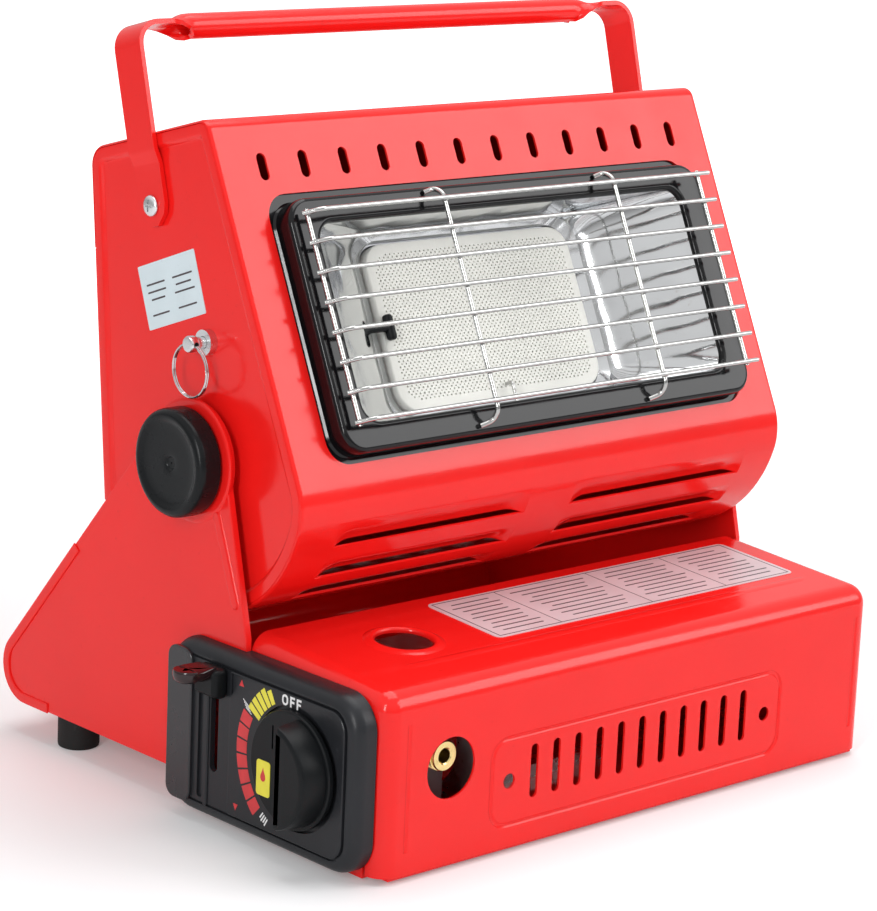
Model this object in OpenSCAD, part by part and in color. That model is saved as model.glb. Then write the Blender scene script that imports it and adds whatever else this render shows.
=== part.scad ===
// Portable gas heater: a tilting radiant head between two brackets, over a cartridge box.
// Frame: +Z up, -Y to the front (the side that radiates), +X to the right of a person facing it.
// The origin lies on the floor, under the middle of the bounding box.

/* [Cartridge box] */
// Width of the cartridge lid
box_w = 272.7; // [268:0.5:276]
// Depth of the lid from its hinge edge to its front face
lid_depth = 78.5; // [78:0.5:80]
// Height of the lid's top at the hinge edge
lid_rear_z = 79.6; // [79:0.2:80]
// Slope of the lid's top towards the front, in degrees
lid_slope = 3.9; // [3:0.1:4.2]
// Thickness of the enamelled sheet steel
sheet = 1; // [0.8:0.1:1]

/* [Stand] */
// Distance from the lid's front face to the rear corner of the brackets
stand_depth = 238.2; // [236:0.2:240]
// Height of the brackets' lower edge above the floor
bracket_low_z = 14; // [13:0.5:15]
// Thickness of the bracket sheet
bracket_t = 1.2; // [1:0.1:1.2]
// Space between the rim of the head and the bracket
bracket_gap = 4.8; // [4.6:0.1:5]
// Radius of the rear feet
foot_r = 8.7; // [7:0.1:9]

/* [Head] */
// Height of the pivot axis above the floor
pivot_z = 140.8; // [140:0.2:142]
// Distance of the pivot axis behind the lid's front face
pivot_back = 114.8; // [114:0.2:116]
// How far the radiating face leans back, in degrees
face_tilt = 25; // [23:0.5:27]
// Distance from the pivot axis to the radiating face
face_off = 51.8; // [51:0.1:52.5]
// Radius of the head's rounded underside about the pivot
belly_r = 61; // [60:0.5:62]
// Width of the head over its two side pans
head_w = 267.1; // [264:0.1:268]

/* [Grille] */
// Diameter of the grille's bars
bar_d = 2; // [1.6:0.1:3]
// Number of bars
bar_count = 8; // [6:1:8]
// Distance between the bars
bar_pitch = 11.75; // [11:0.05:12]

/* [Controls] */
// Diameter of the control knob
knob_d = 46; // [40:1:47]
// Diameter of the tilt knobs
tilt_knob_d = 42.6; // [38:0.2:43]
// Travel of the lock lever between release and lock
lever_travel = 34; // [28:1:36]
// Radius of the lock plunger's pin
plunger_r = 2.5; // [2.2:0.1:2.6]

/* [Carrying handle] */
// Distance from the handle's pivot to the middle of its grip
handle_reach = 69; // [66:0.5:70]
// Width of the handle strip
strip_w = 16.5; // [14:0.5:17]
// Radius of the rolled grip
grip_r = 5; // [4.5:0.1:5.2]

/* [Hidden] */
$fn = 48;
red = [0.9, 0.13, 0.12];
black = [0.13, 0.13, 0.14];
grey = [0.45, 0.46, 0.48];
steel = [0.75, 0.76, 0.78];
brass = [0.8, 0.62, 0.25];
white = [0.95, 0.95, 0.92];
yellow = [0.93, 0.86, 0.2];

// Outer ends of the lock lever, at the left, and of the right tilt knob
half_box = box_w / 2;
half_head = head_w / 2;
bracket_in = half_head + bracket_gap;
bracket_out = bracket_in + bracket_t;
knob_near_x = bracket_out + 1.85;
knob_face_x = bracket_out + 12.1;
bolt_end_x = bracket_out + 8;
lever_tip_x = -half_box - 29.65;

// Middle plane of the heater: the lock lever reaches further out than the tilt knob does
mid_x = -(lever_tip_x + knob_face_x) / 2;
front_y = -stand_depth / 2;
rear_y = stand_depth / 2;
hinge_y = front_y + lid_depth;
pivot_y = front_y + pivot_back;
slack = 0.05;
gap = 0.3;

// Lid and tray
lid_low_z = 3;
lid_round = 9;
corner_r = 5;
lid_axis_y = hinge_y - 3.4;
lid_axis_z = lid_rear_z - 5;
hinge_pin_r = 1.5;
return_w = 9;
tray_low_z = 1.6;
tray_front_y = front_y + 1.4;
tray_left_x = -half_box - gap;
tray_right_x = half_box - 1.7;
floor_z = tray_low_z + sheet;
wall_y = hinge_y - 2;
slot_count = 11;
slot_pitch = 11.83;
inlet_x = -101.6;
inlet_z = 44;
inlet_r = 6.2;
inlet_long = 10.9;
hole_x = -102.9;
hole_z = 41.1;
hole_r = 12.1;

// Cartridge, its valve and the control knob share one axis
gas_y = front_y + 37.9;
gas_z = 38.6;
stem_r = 4;
socket_r = 6.5;
socket_x = -87;
block_x = tray_left_x + sheet;
block_w = 46;
block_front_y = gas_y - 19;
block_rear_y = gas_y + 23;
tube_z = 50;
tube_x = -120;
panel_x = -half_box - 11;
panel_t = 2.2;
panel_low_z = 3;
panel_high_z = 73;
panel_front_y = front_y + 4.5;
panel_rear_y = panel_front_y + 113.3;
lever_y = front_y + 87.5;
lever_z = 62;

// Brackets
edge_w = 1.6;
ear_r = 23.4;
slope_a = 41;
heel_r = 15.1;
heel_z = bracket_low_z + heel_r;
heel_y = rear_y - heel_r;
panel_top_z = 88;
foot_x = 128.5;
foot_y = heel_y - 23.5;
bolt_r = 5;
bush_r = 9;

// Rear slope, from the end of the heel's arc up to the top edge of the rear panel
slope_low = [heel_y, heel_z] + heel_r * dir(slope_a);
slope_rise = (panel_top_z - slope_low[1]) / cos(slope_a);

// Head outline: each side is a line at a distance from the pivot, along an outward direction
face_a = 180 - face_tilt;
top_a = 74.4;
top_r = 127.3;
rear_a = -5.3;
rear_r = 66.6;
under_r = 30.8;
chin_r = 26;
brow_r = 5;
nape_r = 9;
rim_w = 6.5;
recess = 1.5;

// Radiating face, in its own plane: up the face from the foot of the pivot's perpendicular
window_w = 230.7;
window_h = 107.2;
window_v = 35.1;
bezel_w = 226;
bezel_h = 100.7;
bezel_v = 34.2;
bezel_out = 9;
opening_w = 200;
opening_h = 79;
opening_v = 34.5;
plaque_w = 112.5;
plaque_h = 69;
plaque_v = 35.2;
plaque_out = -20;
burner_w = 119.2;
burner_h = 75;
tube_v = 20;
tube_out = -46;
bar_out = 18;
bar_top_v = 77.2;
bar_left_x = -104.5;
bar_right_x = 110;
leg_lean = 45;
leg_long = 7.2;
wire_r = 1;
wire_out = bar_out - bar_d / 2 - wire_r;
left_wire_out = 12.5;
wire_x = [-107.15, -39.5, 55, 105];
pin_v = 46.5;
pin_r = 0.8;
electrode_x = 1;
electrode_out = -15.5;
probe_x = -54.5;

// Tilt stop: a sprung plunger on the head runs in a quadrant on the left pivot bolt
plunger_up = 45.6;
plunger_in_x = -124;
quadrant_x = -126.5;
ring_r = 10.3;
ring_wire_r = 0.85;
ring_x = -141;

// Handle
grip_half = 110;
handle_lean = 15;
handle_y = pivot_y + 35.1;
handle_z = pivot_z + 93.4;
strip_t = 2;
strip_x = half_head + 0.4;
bend_r = 10;
screw_r = 2.5;

function dir(a) = [cos(a), sin(a)];

// Points along an arc round a centre, from one direction to another
function arc(centre, r, from, to, steps) =
    [for (k = [0 : steps]) centre + r * dir(from + (to - from) * k / steps)];

// Meeting point of two outline lines, each given by its outward direction and distance
function meet(a1, r1, a2, r2) =
    [r1 * sin(a2) - r2 * sin(a1), r2 * cos(a1) - r1 * cos(a2)] / sin(a2 - a1);

// Moves what is drawn round the heater's middle plane into the part's frame
module at_mid() {
    translate([mid_x, 0, 0]) children();
}

// Extrudes an outline drawn in Y and Z from x1 to x2
module across(x1, x2) {
    translate([x1, 0, 0]) rotate([90, 0, 90]) linear_extrude(x2 - x1) children();
}

// Extrudes an outline drawn in X and Z from y1 to y2
module along(y1, y2) {
    translate([0, y2, 0]) rotate([90, 0, 0]) linear_extrude(y2 - y1) children();
}

module at_pivot() {
    translate([0, pivot_y, pivot_z]) children();
}

// Own plane of the radiating face: x to the right, y up the face, z outward
module on_face() {
    at_pivot() rotate([90 - face_tilt, 0, 0]) translate([0, 0, face_off]) children();
}

// Round bar along X
module x_rod(x1, x2, r) {
    translate([x1, 0, 0]) rotate([0, 90, 0]) cylinder(h = x2 - x1, r = r);
}

// Round bar along Y
module y_rod(y1, y2, r) {
    translate([0, y2, 0]) rotate([90, 0, 0]) cylinder(h = y2 - y1, r = r);
}

// Rectangle with exact round corners
module rounded(w, h, r) {
    square([w - 2 * r, h], center = true);
    square([w, h - 2 * r], center = true);
    for (x = [-1, 1], y = [-1, 1])
        translate([x * (w / 2 - r), y * (h / 2 - r)]) circle(r);
}

module rounded_plate(w, h, r, z1, z2) {
    translate([0, 0, z1]) linear_extrude(z2 - z1) rounded(w, h, r);
}

// Slot of a given overall length and width, along Y
module slot(length, width) {
    square([width, length - width], center = true);
    for (y = [-1, 1])
        translate([0, y * (length - width) / 2]) circle(width / 2, $fn = 24);
}

// ---------------------------------------------------------------- stand

module bracket_outline() {
    polygon(concat(arc([pivot_y, pivot_z], ear_r, 196, slope_a, 18),
        arc([heel_y, heel_z], heel_r, slope_a, -90, 14),
        [[hinge_y, bracket_low_z], [hinge_y, lid_rear_z - 2]]));
}

// Turned edges of the bracket: along its front edge, and along its rear slope above the rear panel
module bracket_edges() {
    front_top = [pivot_y, pivot_z] + ear_r * dir(196);
    front_low = [hinge_y, lid_rear_z - 2];
    slope_top = [pivot_y, pivot_z] + ear_r * dir(slope_a);
    slope_end = slope_low + (slope_rise + gap) * dir(slope_a + 90);
    inward = [bracket_t, 0];
    polygon([front_top, front_low, front_low + inward, front_top + inward]);
    polygon([slope_top, slope_end, slope_end - bracket_t * dir(slope_a),
        slope_top - bracket_t * dir(slope_a)]);
}

module bracket_sheet() {
    across(bracket_in, bracket_out) bracket_outline();
    across(bracket_in - edge_w, bracket_in + slack) bracket_edges();
}

module left_bracket() {
    color(red) at_mid() difference() {
        mirror([1, 0, 0]) bracket_sheet();
        at_pivot() x_rod(-bracket_out - 1, -bracket_in + 1, bolt_r);
        across(-bracket_out - 1, -bracket_in + 1)
            translate([lever_y, lever_z - lever_travel / 2]) slot(lever_travel + 9, 7);
    }
}

module right_bracket() {
    color(red) at_mid() difference() {
        bracket_sheet();
        at_pivot() x_rod(bracket_in - 1, bracket_out + 1, bolt_r);
    }
}

// Pan under the cartridge, with low front lip, end walls, rear wall and two hinge ears
module base_tray() {
    ear_x = 128;
    left_front_y = front_y + return_w + 1;
    right_front_y = front_y + corner_r;
    lip_half = half_box - corner_r;
    wall_left_x = -half_box + sheet + gap;
    color(red) at_mid() difference() {
        union() {
            along(tray_front_y, wall_y) translate([-lip_half, tray_low_z]) square([2 * lip_half, sheet]);
            along(left_front_y, wall_y) translate([tray_left_x, tray_low_z])
                square([tray_right_x - tray_left_x, sheet]);
            along(tray_front_y, tray_front_y + sheet) translate([-lip_half, tray_low_z])
                square([2 * lip_half, 12]);
            along(wall_y - sheet, wall_y) translate([tray_left_x, tray_low_z])
                square([tray_right_x - tray_left_x, 60]);
            along(wall_y - sheet, wall_y) translate([wall_left_x, tray_low_z])
                square([tray_right_x - wall_left_x, 66]);
            across(tray_left_x, tray_left_x + sheet) translate([left_front_y, tray_low_z])
                square([wall_y - left_front_y, 60]);
            across(tray_right_x - sheet, tray_right_x) translate([right_front_y, tray_low_z])
                square([wall_y - right_front_y, 62]);
            for (x = [-ear_x - 2, ear_x]) across(x, x + 2) {
                translate([lid_axis_y, lid_axis_z]) circle(3);
                translate([lid_axis_y, lid_axis_z - 14]) square([wall_y - lid_axis_y, 16]);
            }
        }
        translate([0, lid_axis_y, lid_axis_z]) x_rod(-half_box, half_box, hinge_pin_r + slack);
        translate([0, gas_y, gas_z]) x_rod(tray_left_x - 1, tray_left_x + 2, stem_r + 1.3);
        translate([tube_x, 0, tube_z]) y_rod(wall_y - 3, wall_y + 1, 3);
        translate([-85, wall_y - 1, gas_z - 7]) cube([14, 4, 14], center = true);
    }
}

// Sloping sheet between the brackets, with the floor that runs forward to the tray
module rear_panel() {
    slope_high = slope_low + slope_rise * dir(slope_a + 90);
    inner = sheet * dir(slope_a);
    half_w = bracket_in - slack;
    near_y = wall_y + slack;
    lip_z = bracket_low_z + 12;
    notch_x = half_box - sheet - gap;
    notch = [half_w - notch_x + 1, hinge_y + gap - near_y + 1, lip_z - bracket_low_z + 2];
    color(red) at_mid() difference() {
        across(-half_w, half_w) polygon(concat([slope_high],
            arc([heel_y, heel_z], heel_r, slope_a, -90, 14),
            [[near_y, bracket_low_z], [near_y, lip_z], [near_y + sheet, lip_z],
            [near_y + sheet, bracket_low_z + sheet]],
            arc([heel_y, heel_z], heel_r - sheet, -90, slope_a, 14), [slope_high - inner]));
        for (x = [-foot_x, foot_x])
            translate([x, foot_y, bracket_low_z - 1]) cylinder(h = 4, r = 2);
        translate([notch_x, near_y - 1, bracket_low_z - 1]) cube(notch);
    }
}

module panel_outline(inset) {
    depth = panel_rear_y - panel_front_y;
    height = panel_high_z - panel_low_z;
    translate([(panel_front_y + panel_rear_y) / 2, (panel_high_z + panel_low_z) / 2])
        rounded(depth - 2 * inset, height - 2 * inset, 14 - inset);
}

// Moulded control panel: a shallow shell on the left end, stepped over the bracket
module control_panel() {
    color(black) at_mid() difference() {
        across(panel_x, tray_left_x) panel_outline(0);
        across(panel_x + panel_t, tray_left_x + 1) panel_outline(panel_t);
        translate([-bracket_out - slack, hinge_y - 0.6, 0]) cube([20, 100, 100]);
        translate([0, gas_y, gas_z]) x_rod(panel_x - 1, tray_left_x, stem_r + 0.6);
        across(panel_x - 1, tray_left_x)
            translate([lever_y, lever_z - lever_travel / 2]) slot(lever_travel + 10, 5.4);
    }
}

// Smooth inset strip beside the lever slot
module panel_strip() {
    color(black) at_mid() across(panel_x - 0.5, panel_x)
        translate([panel_rear_y - 9.5, (panel_high_z + panel_low_z) / 2]) rounded(15, 62, 5);
}

module rear_feet() {
    color(black) at_mid() for (x = [-foot_x, foot_x]) translate([x, foot_y, 0]) difference() {
        cylinder(h = bracket_low_z, r = foot_r);
        translate([0, 0, 5]) cylinder(h = bracket_low_z, r = 2);
    }
}

module front_feet() {
    color(black) at_mid() for (x = [-118, 118])
        translate([x, tray_front_y + 14, 0]) cylinder(h = tray_low_z, r = foot_r - 1);
}

module foot_screws() {
    head_z = bracket_low_z + sheet;
    color(steel) at_mid() for (x = [-foot_x, foot_x]) translate([x, foot_y, 0]) {
        translate([0, 0, head_z]) cylinder(h = 2.4, r = 4);
        translate([0, 0, 6]) cylinder(h = head_z - 6, r = 2);
    }
}

// Die-cast valve block with the socket that takes the cartridge's collar
module regulator() {
    color(steel) at_mid() difference() {
        union() {
            translate([block_x, block_front_y, gas_z - 20]) cube([block_w, block_rear_y - block_front_y, 40]);
            translate([0, gas_y, gas_z]) x_rod(block_x + block_w - 1, socket_x, 16);
        }
        translate([0, gas_y, gas_z]) x_rod(socket_x - 10, socket_x + 1, socket_r);
        translate([0, gas_y, gas_z]) x_rod(block_x - 1, block_x + 14, stem_r + slack);
    }
}

// Brass inlet for a bulk bottle's hose, behind the round hole in the lid's front
module gas_inlet() {
    hex_y = block_front_y - 3;
    color(brass) at_mid() translate([inlet_x, 0, inlet_z]) difference() {
        union() {
            translate([0, block_front_y, 0]) rotate([90, 0, 0]) cylinder(h = 3, r = 7.2, $fn = 6);
            y_rod(hex_y - inlet_long, hex_y, inlet_r);
        }
        y_rod(hex_y - inlet_long - 1, hex_y, 2.6);
    }
}

// Two rails that carry the cartridge
module cartridge_rails() {
    rail_x = -72;
    color(steel) at_mid() for (side = [-1, 1]) translate([rail_x, gas_y + side * 19 - 2.5, floor_z])
        cube([196, 5, 5.4]);
}

module piezo_igniter() {
    color(black) at_mid() translate([-half_box + 2, front_y + corner_r, floor_z]) {
        cube([24, 12, 14]);
        translate([0, 6, 7]) x_rod(24, 30, 3);
    }
}

// Gas tube from the regulator, behind the tray's rear wall, up to the ring on the pivot
module feed_tube() {
    r = 1.6;
    ring_half = 2;
    ring_mid_x = -bracket_in + ring_half;
    turn_y = pivot_y - 15;
    down = [0, turn_y - pivot_y, tube_z - pivot_z];
    long = norm(down);
    lean = atan2(down[1], down[2]);
    color(brass) at_mid() difference() {
        union() {
            at_pivot() x_rod(ring_mid_x - ring_half, ring_mid_x + ring_half, 8);
            at_pivot() translate([ring_mid_x, 0, 0]) rotate([-lean, 0, 0]) cylinder(h = long, r = r);
            translate([ring_mid_x, turn_y, tube_z]) sphere(r + 0.35);
            translate([0, turn_y, tube_z]) x_rod(ring_mid_x, tube_x, r);
            translate([tube_x, turn_y, tube_z]) sphere(r + 0.35);
            translate([tube_x, 0, tube_z]) y_rod(block_rear_y, turn_y, r);
            translate([tube_x, block_rear_y + 5, tube_z]) rotate([90, 0, 0]) cylinder(h = 5, r = 4, $fn = 6);
        }
        at_pivot() x_rod(ring_mid_x - 3, ring_mid_x + 3, bolt_r);
    }
}

// Bolt through the bracket's ear; the left one is hollow and carries the gas
module left_pivot_bolt() {
    color(steel) at_mid() at_pivot() difference() {
        union() {
            x_rod(-bolt_end_x, quadrant_x + 2, bolt_r);
            translate([quadrant_x + 2, 0, 0]) rotate([0, 90, 0]) cylinder(h = 3, r = 8, $fn = 6);
        }
        x_rod(-bracket_in + 1, quadrant_x + 6, 1.5);
    }
}

module right_pivot_bolt() {
    inner_x = half_head - 9.5;
    color(steel) at_mid() at_pivot() {
        x_rod(inner_x, bolt_end_x, bolt_r);
        x_rod(bracket_in - 3.6, bracket_in, 8);
        translate([inner_x, 0, 0]) rotate([0, 90, 0]) cylinder(h = 3, r = 8, $fn = 6);
    }
}

// Fixed plate inside the head: the plunger's pin runs in its slot, whose ends stop the tilt
module tilt_quadrant() {
    last_a = face_tilt;
    half_slot = plunger_r + slack;
    edge_r = plunger_up + half_slot + 1;
    color(steel) at_mid() at_pivot() difference() {
        across(quadrant_x, quadrant_x + 2) difference() {
            polygon(concat(arc([0, 0], edge_r, 98, last_a - 8, 30), arc([0, 0], 11, last_a - 8, 98 - 360, 20)));
            polygon(concat(arc([0, 0], plunger_up + half_slot, 90, last_a, 40),
                arc(plunger_up * dir(last_a), half_slot, last_a, last_a - 180, 12),
                arc([0, 0], plunger_up - half_slot, last_a, 90, 40),
                arc([0, plunger_up], half_slot, 270, 90, 12)));
        }
        x_rod(quadrant_x - 1, quadrant_x + 3, bolt_r);
    }
}

// ---------------------------------------------------------------- cartridge lid

// Side outline of the lid, with its front edge rounded and every face moved in by inset
module lid_side(inset) {
    beyond = 5 * inset;
    top_rear = lid_rear_z - inset / cos(lid_slope) + beyond * tan(lid_slope);
    centre_y = front_y + lid_round;
    centre_z = lid_rear_z - (hinge_y - centre_y) * tan(lid_slope) - lid_round / cos(lid_slope);
    polygon(concat([[hinge_y + beyond, 0], [hinge_y + beyond, top_rear]],
        arc([centre_y, centre_z], lid_round - inset, 90 + lid_slope, 180, 6), [[front_y + inset, 0]]));
}

// Section of the lid across its sloping top, with both upper corners rounded
module lid_section(inset) {
    c = half_box - lid_round;
    r = lid_round - inset;
    polygon(concat([[-c - r, -100]], arc([-c, -lid_round], r, 180, 90, 6),
        arc([c, -lid_round], r, 90, 0, 6), [[c + r, -100]]));
}

// Plan of the lid, with its front corners rounded
module lid_plan(inset) {
    c = half_box - corner_r;
    r = corner_r - inset;
    polygon(concat([[-c - r, 0]], arc([-c, front_y + corner_r], r, 180, 270, 5),
        arc([c, front_y + corner_r], r, 270, 360, 5), [[c + r, 0]]));
}

module lid_block(inset) {
    intersection() {
        across(-half_box - 1, half_box + 1) lid_side(inset);
        translate([0, hinge_y, lid_rear_z]) rotate([lid_slope, 0, 0]) along(-150, 30) lid_section(inset);
        linear_extrude(120) lid_plan(inset);
    }
}

module cartridge_lid() {
    top_y = gas_y + 6.5;
    color(red) at_mid() difference() {
        union() {
            difference() {
                lid_block(0);
                lid_block(sheet);
                translate([-half_box - 1, -250, -50]) cube([box_w + 2, 500, 50 + lid_low_z]);
                translate([-half_box - 1, front_y + return_w, 0]) cube([5, 200, 64]);
            }
            for (x = [-132, 131]) across(x, x + 1) translate([lid_axis_y, lid_axis_z])
                polygon(concat(arc([0, 0], 2.6, 180, 360, 12), [[2.6, 4.4], [-2.6, 4.4]]));
        }
        for (k = [0 : slot_count - 1]) {
            x = (k - (slot_count - 1) / 2) * slot_pitch;
            along(front_y - 1, front_y + 3) translate([x, 31.4]) slot(21.7, 4);
        }
        for (x = [-72.3, 72.3]) translate([x, 0, 29.7]) y_rod(front_y - 1, front_y + 3, 3);
        translate([hole_x, 0, hole_z]) y_rod(front_y - 1, front_y + 3, hole_r);
        translate([-89, top_y, lid_rear_z - 20]) cylinder(h = 30, r = 11.6);
        translate([0, lid_axis_y, lid_axis_z]) x_rod(-133, -130, hinge_pin_r);
        translate([0, lid_axis_y, lid_axis_z]) x_rod(130, 133, hinge_pin_r);
    }
}

module lid_hinge_pins() {
    color(steel) at_mid() translate([0, lid_axis_y, lid_axis_z]) {
        x_rod(-132.5, -127, hinge_pin_r);
        x_rod(127, 132.5, hinge_pin_r);
    }
}

// Plate glued on the lid's sloping top
module lid_label() {
    color(white) at_mid() translate([0, hinge_y, lid_rear_z]) rotate([lid_slope, 0, 0])
        translate([32.3, -28.6, 0]) rounded_plate(172.5, 43, 3, 0, 0.3);
}

// ---------------------------------------------------------------- head

// Side outline of the head round the pivot, with all faces moved inward by inset
module head_profile(inset) {
    chin_s = -sqrt(pow(belly_r - chin_r, 2) - pow(face_off - chin_r, 2));
    chin = (face_off - chin_r) * dir(face_a) - chin_s * dir(face_a + 90);
    chin_a = atan2(chin[1], chin[0]);
    brow_in = max(brow_r - inset, 1);
    nape_in = max(nape_r - inset, 1);
    brow = meet(face_a, face_off - inset - brow_in, top_a, top_r - inset - brow_in);
    nape = meet(top_a, top_r - inset - nape_in, rear_a, rear_r - inset - nape_in);
    heel = meet(rear_a, rear_r - inset, -90, under_r - inset);
    toe_a = -asin((under_r - inset) / (belly_r - inset));
    polygon(concat(arc(brow, brow_in, face_a, top_a, 5), arc(nape, nape_in, top_a, rear_a, 6), [heel],
        arc([0, 0], belly_r - inset, toe_a, chin_a, 24),
        arc(chin, chin_r - inset, chin_a, face_a - 360, 8)));
}

// The part of the outline that belongs to the rear cover
module rear_zone() {
    nape = meet(top_a, top_r - nape_r, rear_a, rear_r - nape_r);
    toe_y = sqrt(pow(belly_r, 2) - pow(under_r, 2)) + 0.3;
    polygon([nape, nape + [100, 0], [160, -80], [toe_y, -80], [toe_y, -under_r + 3]]);
}

module head_shell() {
    vent_pitch = 20.39;
    color(red) at_mid() difference() {
        at_pivot() across(-half_head, half_head) difference() {
            head_profile(0);
            head_profile(sheet);
            rear_zone();
        }
        on_face() translate([0, window_v, 0])
            rounded_plate(window_w, window_h, 10, -3, 3);
        for (k = [0 : 11]) on_face()
            translate([(k - 5.5) * vent_pitch, 100, -4]) linear_extrude(8) slot(11, 4.6);
        for (side = [-1, 1], a = [205, 221.5, 238]) at_pivot()
            rotate([a, 0, 0]) translate([side * 63.2, belly_r, 0]) cube([101, 12, 2], center = true);
    }
}

// Stamped side pan: flange inside the shell, raised rim, recessed panel
module side_pan() {
    inner = half_head - 10;
    at_pivot() {
        across(inner, half_head) difference() {
            head_profile(sheet + slack);
            head_profile(2 * sheet + slack);
        }
        across(half_head - recess - sheet, half_head) difference() {
            head_profile(sheet + slack);
            head_profile(rim_w);
        }
        across(half_head - recess - sheet, half_head - recess) head_profile(rim_w - slack);
    }
}

module pan_holes() {
    at_pivot() x_rod(half_head - 12, half_head + 1, bush_r);
    translate([0, handle_y, handle_z]) x_rod(half_head - 12, half_head + 1, screw_r);
}

module left_side_pan() {
    color(red) at_mid() mirror([1, 0, 0]) difference() {
        side_pan();
        pan_holes();
        at_pivot() translate([0, 0, plunger_up]) x_rod(half_head - 12, half_head + 1, 5);
    }
}

module right_side_pan() {
    color(red) at_mid() difference() {
        side_pan();
        pan_holes();
    }
}

module rear_cover() {
    half_w = half_head - 0.1;
    color(red) at_mid() at_pivot() across(-half_w, half_w) intersection() {
        difference() {
            head_profile(0);
            head_profile(sheet);
        }
        rear_zone();
    }
}

// Pressed frame round the burner window
module bezel() {
    wall = 1.2;
    color(black) at_mid() difference() {
        on_face() {
            translate([0, bezel_v, 0]) rounded_plate(bezel_w, bezel_h, 10, -2.2, bezel_out);
            translate([0, window_v, 0])
                rounded_plate(window_w + 6, window_h + 6, 12, -2.2, -sheet - slack);
        }
        on_face() translate([0, bezel_v, 0])
            rounded_plate(bezel_w - 2 * wall, bezel_h - 2 * wall, 8.8, -4, bezel_out - wall);
        on_face() translate([0, opening_v, 0])
            rounded_plate(opening_w, opening_h, 8, 0, bezel_out + 1);
        for (x = [wire_x[1], wire_x[2]], side = [-1, 1])
            on_face() translate([x, bezel_v + side * pin_v, 0]) cylinder(h = 20, r = pin_r);
    }
}

// Tapered rectangle between two levels of the face
module funnel(w1, h1, v1, z1, w2, h2, v2, z2) {
    hull() {
        translate([-w1 / 2, v1 - h1 / 2, z1]) cube([w1, h1, 0.01]);
        translate([-w2 / 2, v2 - h2 / 2, z2]) cube([w2, h2, 0.01]);
    }
}

// Polished pan between the bezel and the burner
module reflector() {
    t = 0.8;
    rim_out = bezel_out - 1.2;
    back_w = burner_w + 6;
    back_h = burner_h + 2;
    color(steel) at_mid() on_face() difference() {
        union() {
            funnel(back_w + 2 * t, back_h + 2 * t, plaque_v, -22, opening_w + 2 * t,
                opening_h + 2 * t, opening_v, rim_out);
            translate([0, opening_v, 0])
                rounded_plate(opening_w + 14, opening_h + 12, 10, rim_out - 1, rim_out);
        }
        funnel(back_w, back_h, plaque_v, -21.2, opening_w, opening_h, opening_v, rim_out + 0.1);
        translate([-burner_w / 2, plaque_v - burner_h / 2, -30]) cube([burner_w, burner_h, 20]);
        translate([electrode_x, -12, electrode_out]) rotate([-90, 0, 0]) cylinder(h = 16, r = 2.5);
        translate([0, plaque_v, plaque_out + 2.6]) x_rod(-80, -58, 1.6);
    }
}

module burner_box() {
    wall = 1.2;
    color(grey) at_mid() on_face() difference() {
        translate([0, plaque_v, 0]) rounded_plate(burner_w, burner_h, 11, -58, -34);
        translate([0, plaque_v, 0])
            rounded_plate(burner_w - 2 * wall, burner_h - 2 * wall, 9.8, -58 + wall, -33);
        translate([0, tube_v, tube_out]) x_rod(-70, -50, 9);
    }
}

module ceramic_plaque() {
    color(white) at_mid() on_face() translate([0, plaque_v, 0])
        rounded_plate(plaque_w, plaque_h, 10, plaque_out - 13, plaque_out);
}

module plaque_rim() {
    color(steel) at_mid() on_face() translate([0, plaque_v, 0]) difference() {
        rounded_plate(burner_w, burner_h, 11, -34, plaque_out - 0.8);
        rounded_plate(plaque_w, plaque_h, 10, -33, plaque_out);
        rounded_plate(plaque_w - 8, plaque_h - 8, 8, -35, plaque_out);
    }
}

module igniter_electrode() {
    color(steel) at_mid() on_face() translate([electrode_x, 0, electrode_out]) {
        translate([0, -24, 0]) rotate([-90, 0, 0]) cylinder(h = 30, r = 0.8);
        translate([0, 6, -3.2]) cylinder(h = 3.2, r = 0.8);
        translate([0, 6, 0]) sphere(0.8);
    }
}

module electrode_insulator() {
    color(white) at_mid() on_face() translate([electrode_x, 0, electrode_out]) difference() {
        translate([0, -20, 0]) rotate([-90, 0, 0]) cylinder(h = 17, r = 2.5);
        translate([0, -21, 0]) rotate([-90, 0, 0]) cylinder(h = 20, r = 0.8);
    }
}

// Insulated wire from the electrode towards the left pivot
module electrode_lead() {
    r = 1.2;
    color(black) at_mid() on_face() {
        translate([electrode_x, -30, electrode_out]) rotate([-90, 0, 0]) cylinder(h = 6, r = r);
        translate([electrode_x, -30, electrode_out]) sphere(r);
        translate([0, -30, electrode_out]) x_rod(-117, electrode_x, r);
    }
}

// Flame sensor: a dark tip at the plaque's left edge, on a stem through the reflector
module thermocouple() {
    color(black) at_mid() on_face() translate([0, plaque_v, plaque_out + 2.6]) {
        x_rod(-84, probe_x, 1.6);
        translate([probe_x, -5.2, 0]) rotate([-90, 0, 0]) cylinder(h = 10.4, r = 2.1);
    }
}

// Venturi that draws in air round the jet
module mixing_tube() {
    color(grey) at_mid() on_face() translate([0, tube_v, tube_out]) difference() {
        union() {
            x_rod(-111, -57, 9);
            x_rod(-111, -96, 12);
        }
        x_rod(-109.5, -56, 7.8);
        x_rod(-109.5, -97.2, 10.8);
        x_rod(-112, -100, 4);
        translate([-103, 0, 0]) cube([9, 40, 9], center = true);
    }
}

module gas_jet() {
    color(brass) at_mid() on_face() translate([0, tube_v, tube_out]) difference() {
        union() {
            x_rod(-117.5, -107, 4);
            x_rod(-107, -104, 2.2);
            translate([-116, 0, 0]) rotate([0, 90, 0]) cylinder(h = 4, r = 6, $fn = 6);
        }
        x_rod(-118, -105.5, 1.2);
    }
}

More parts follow.
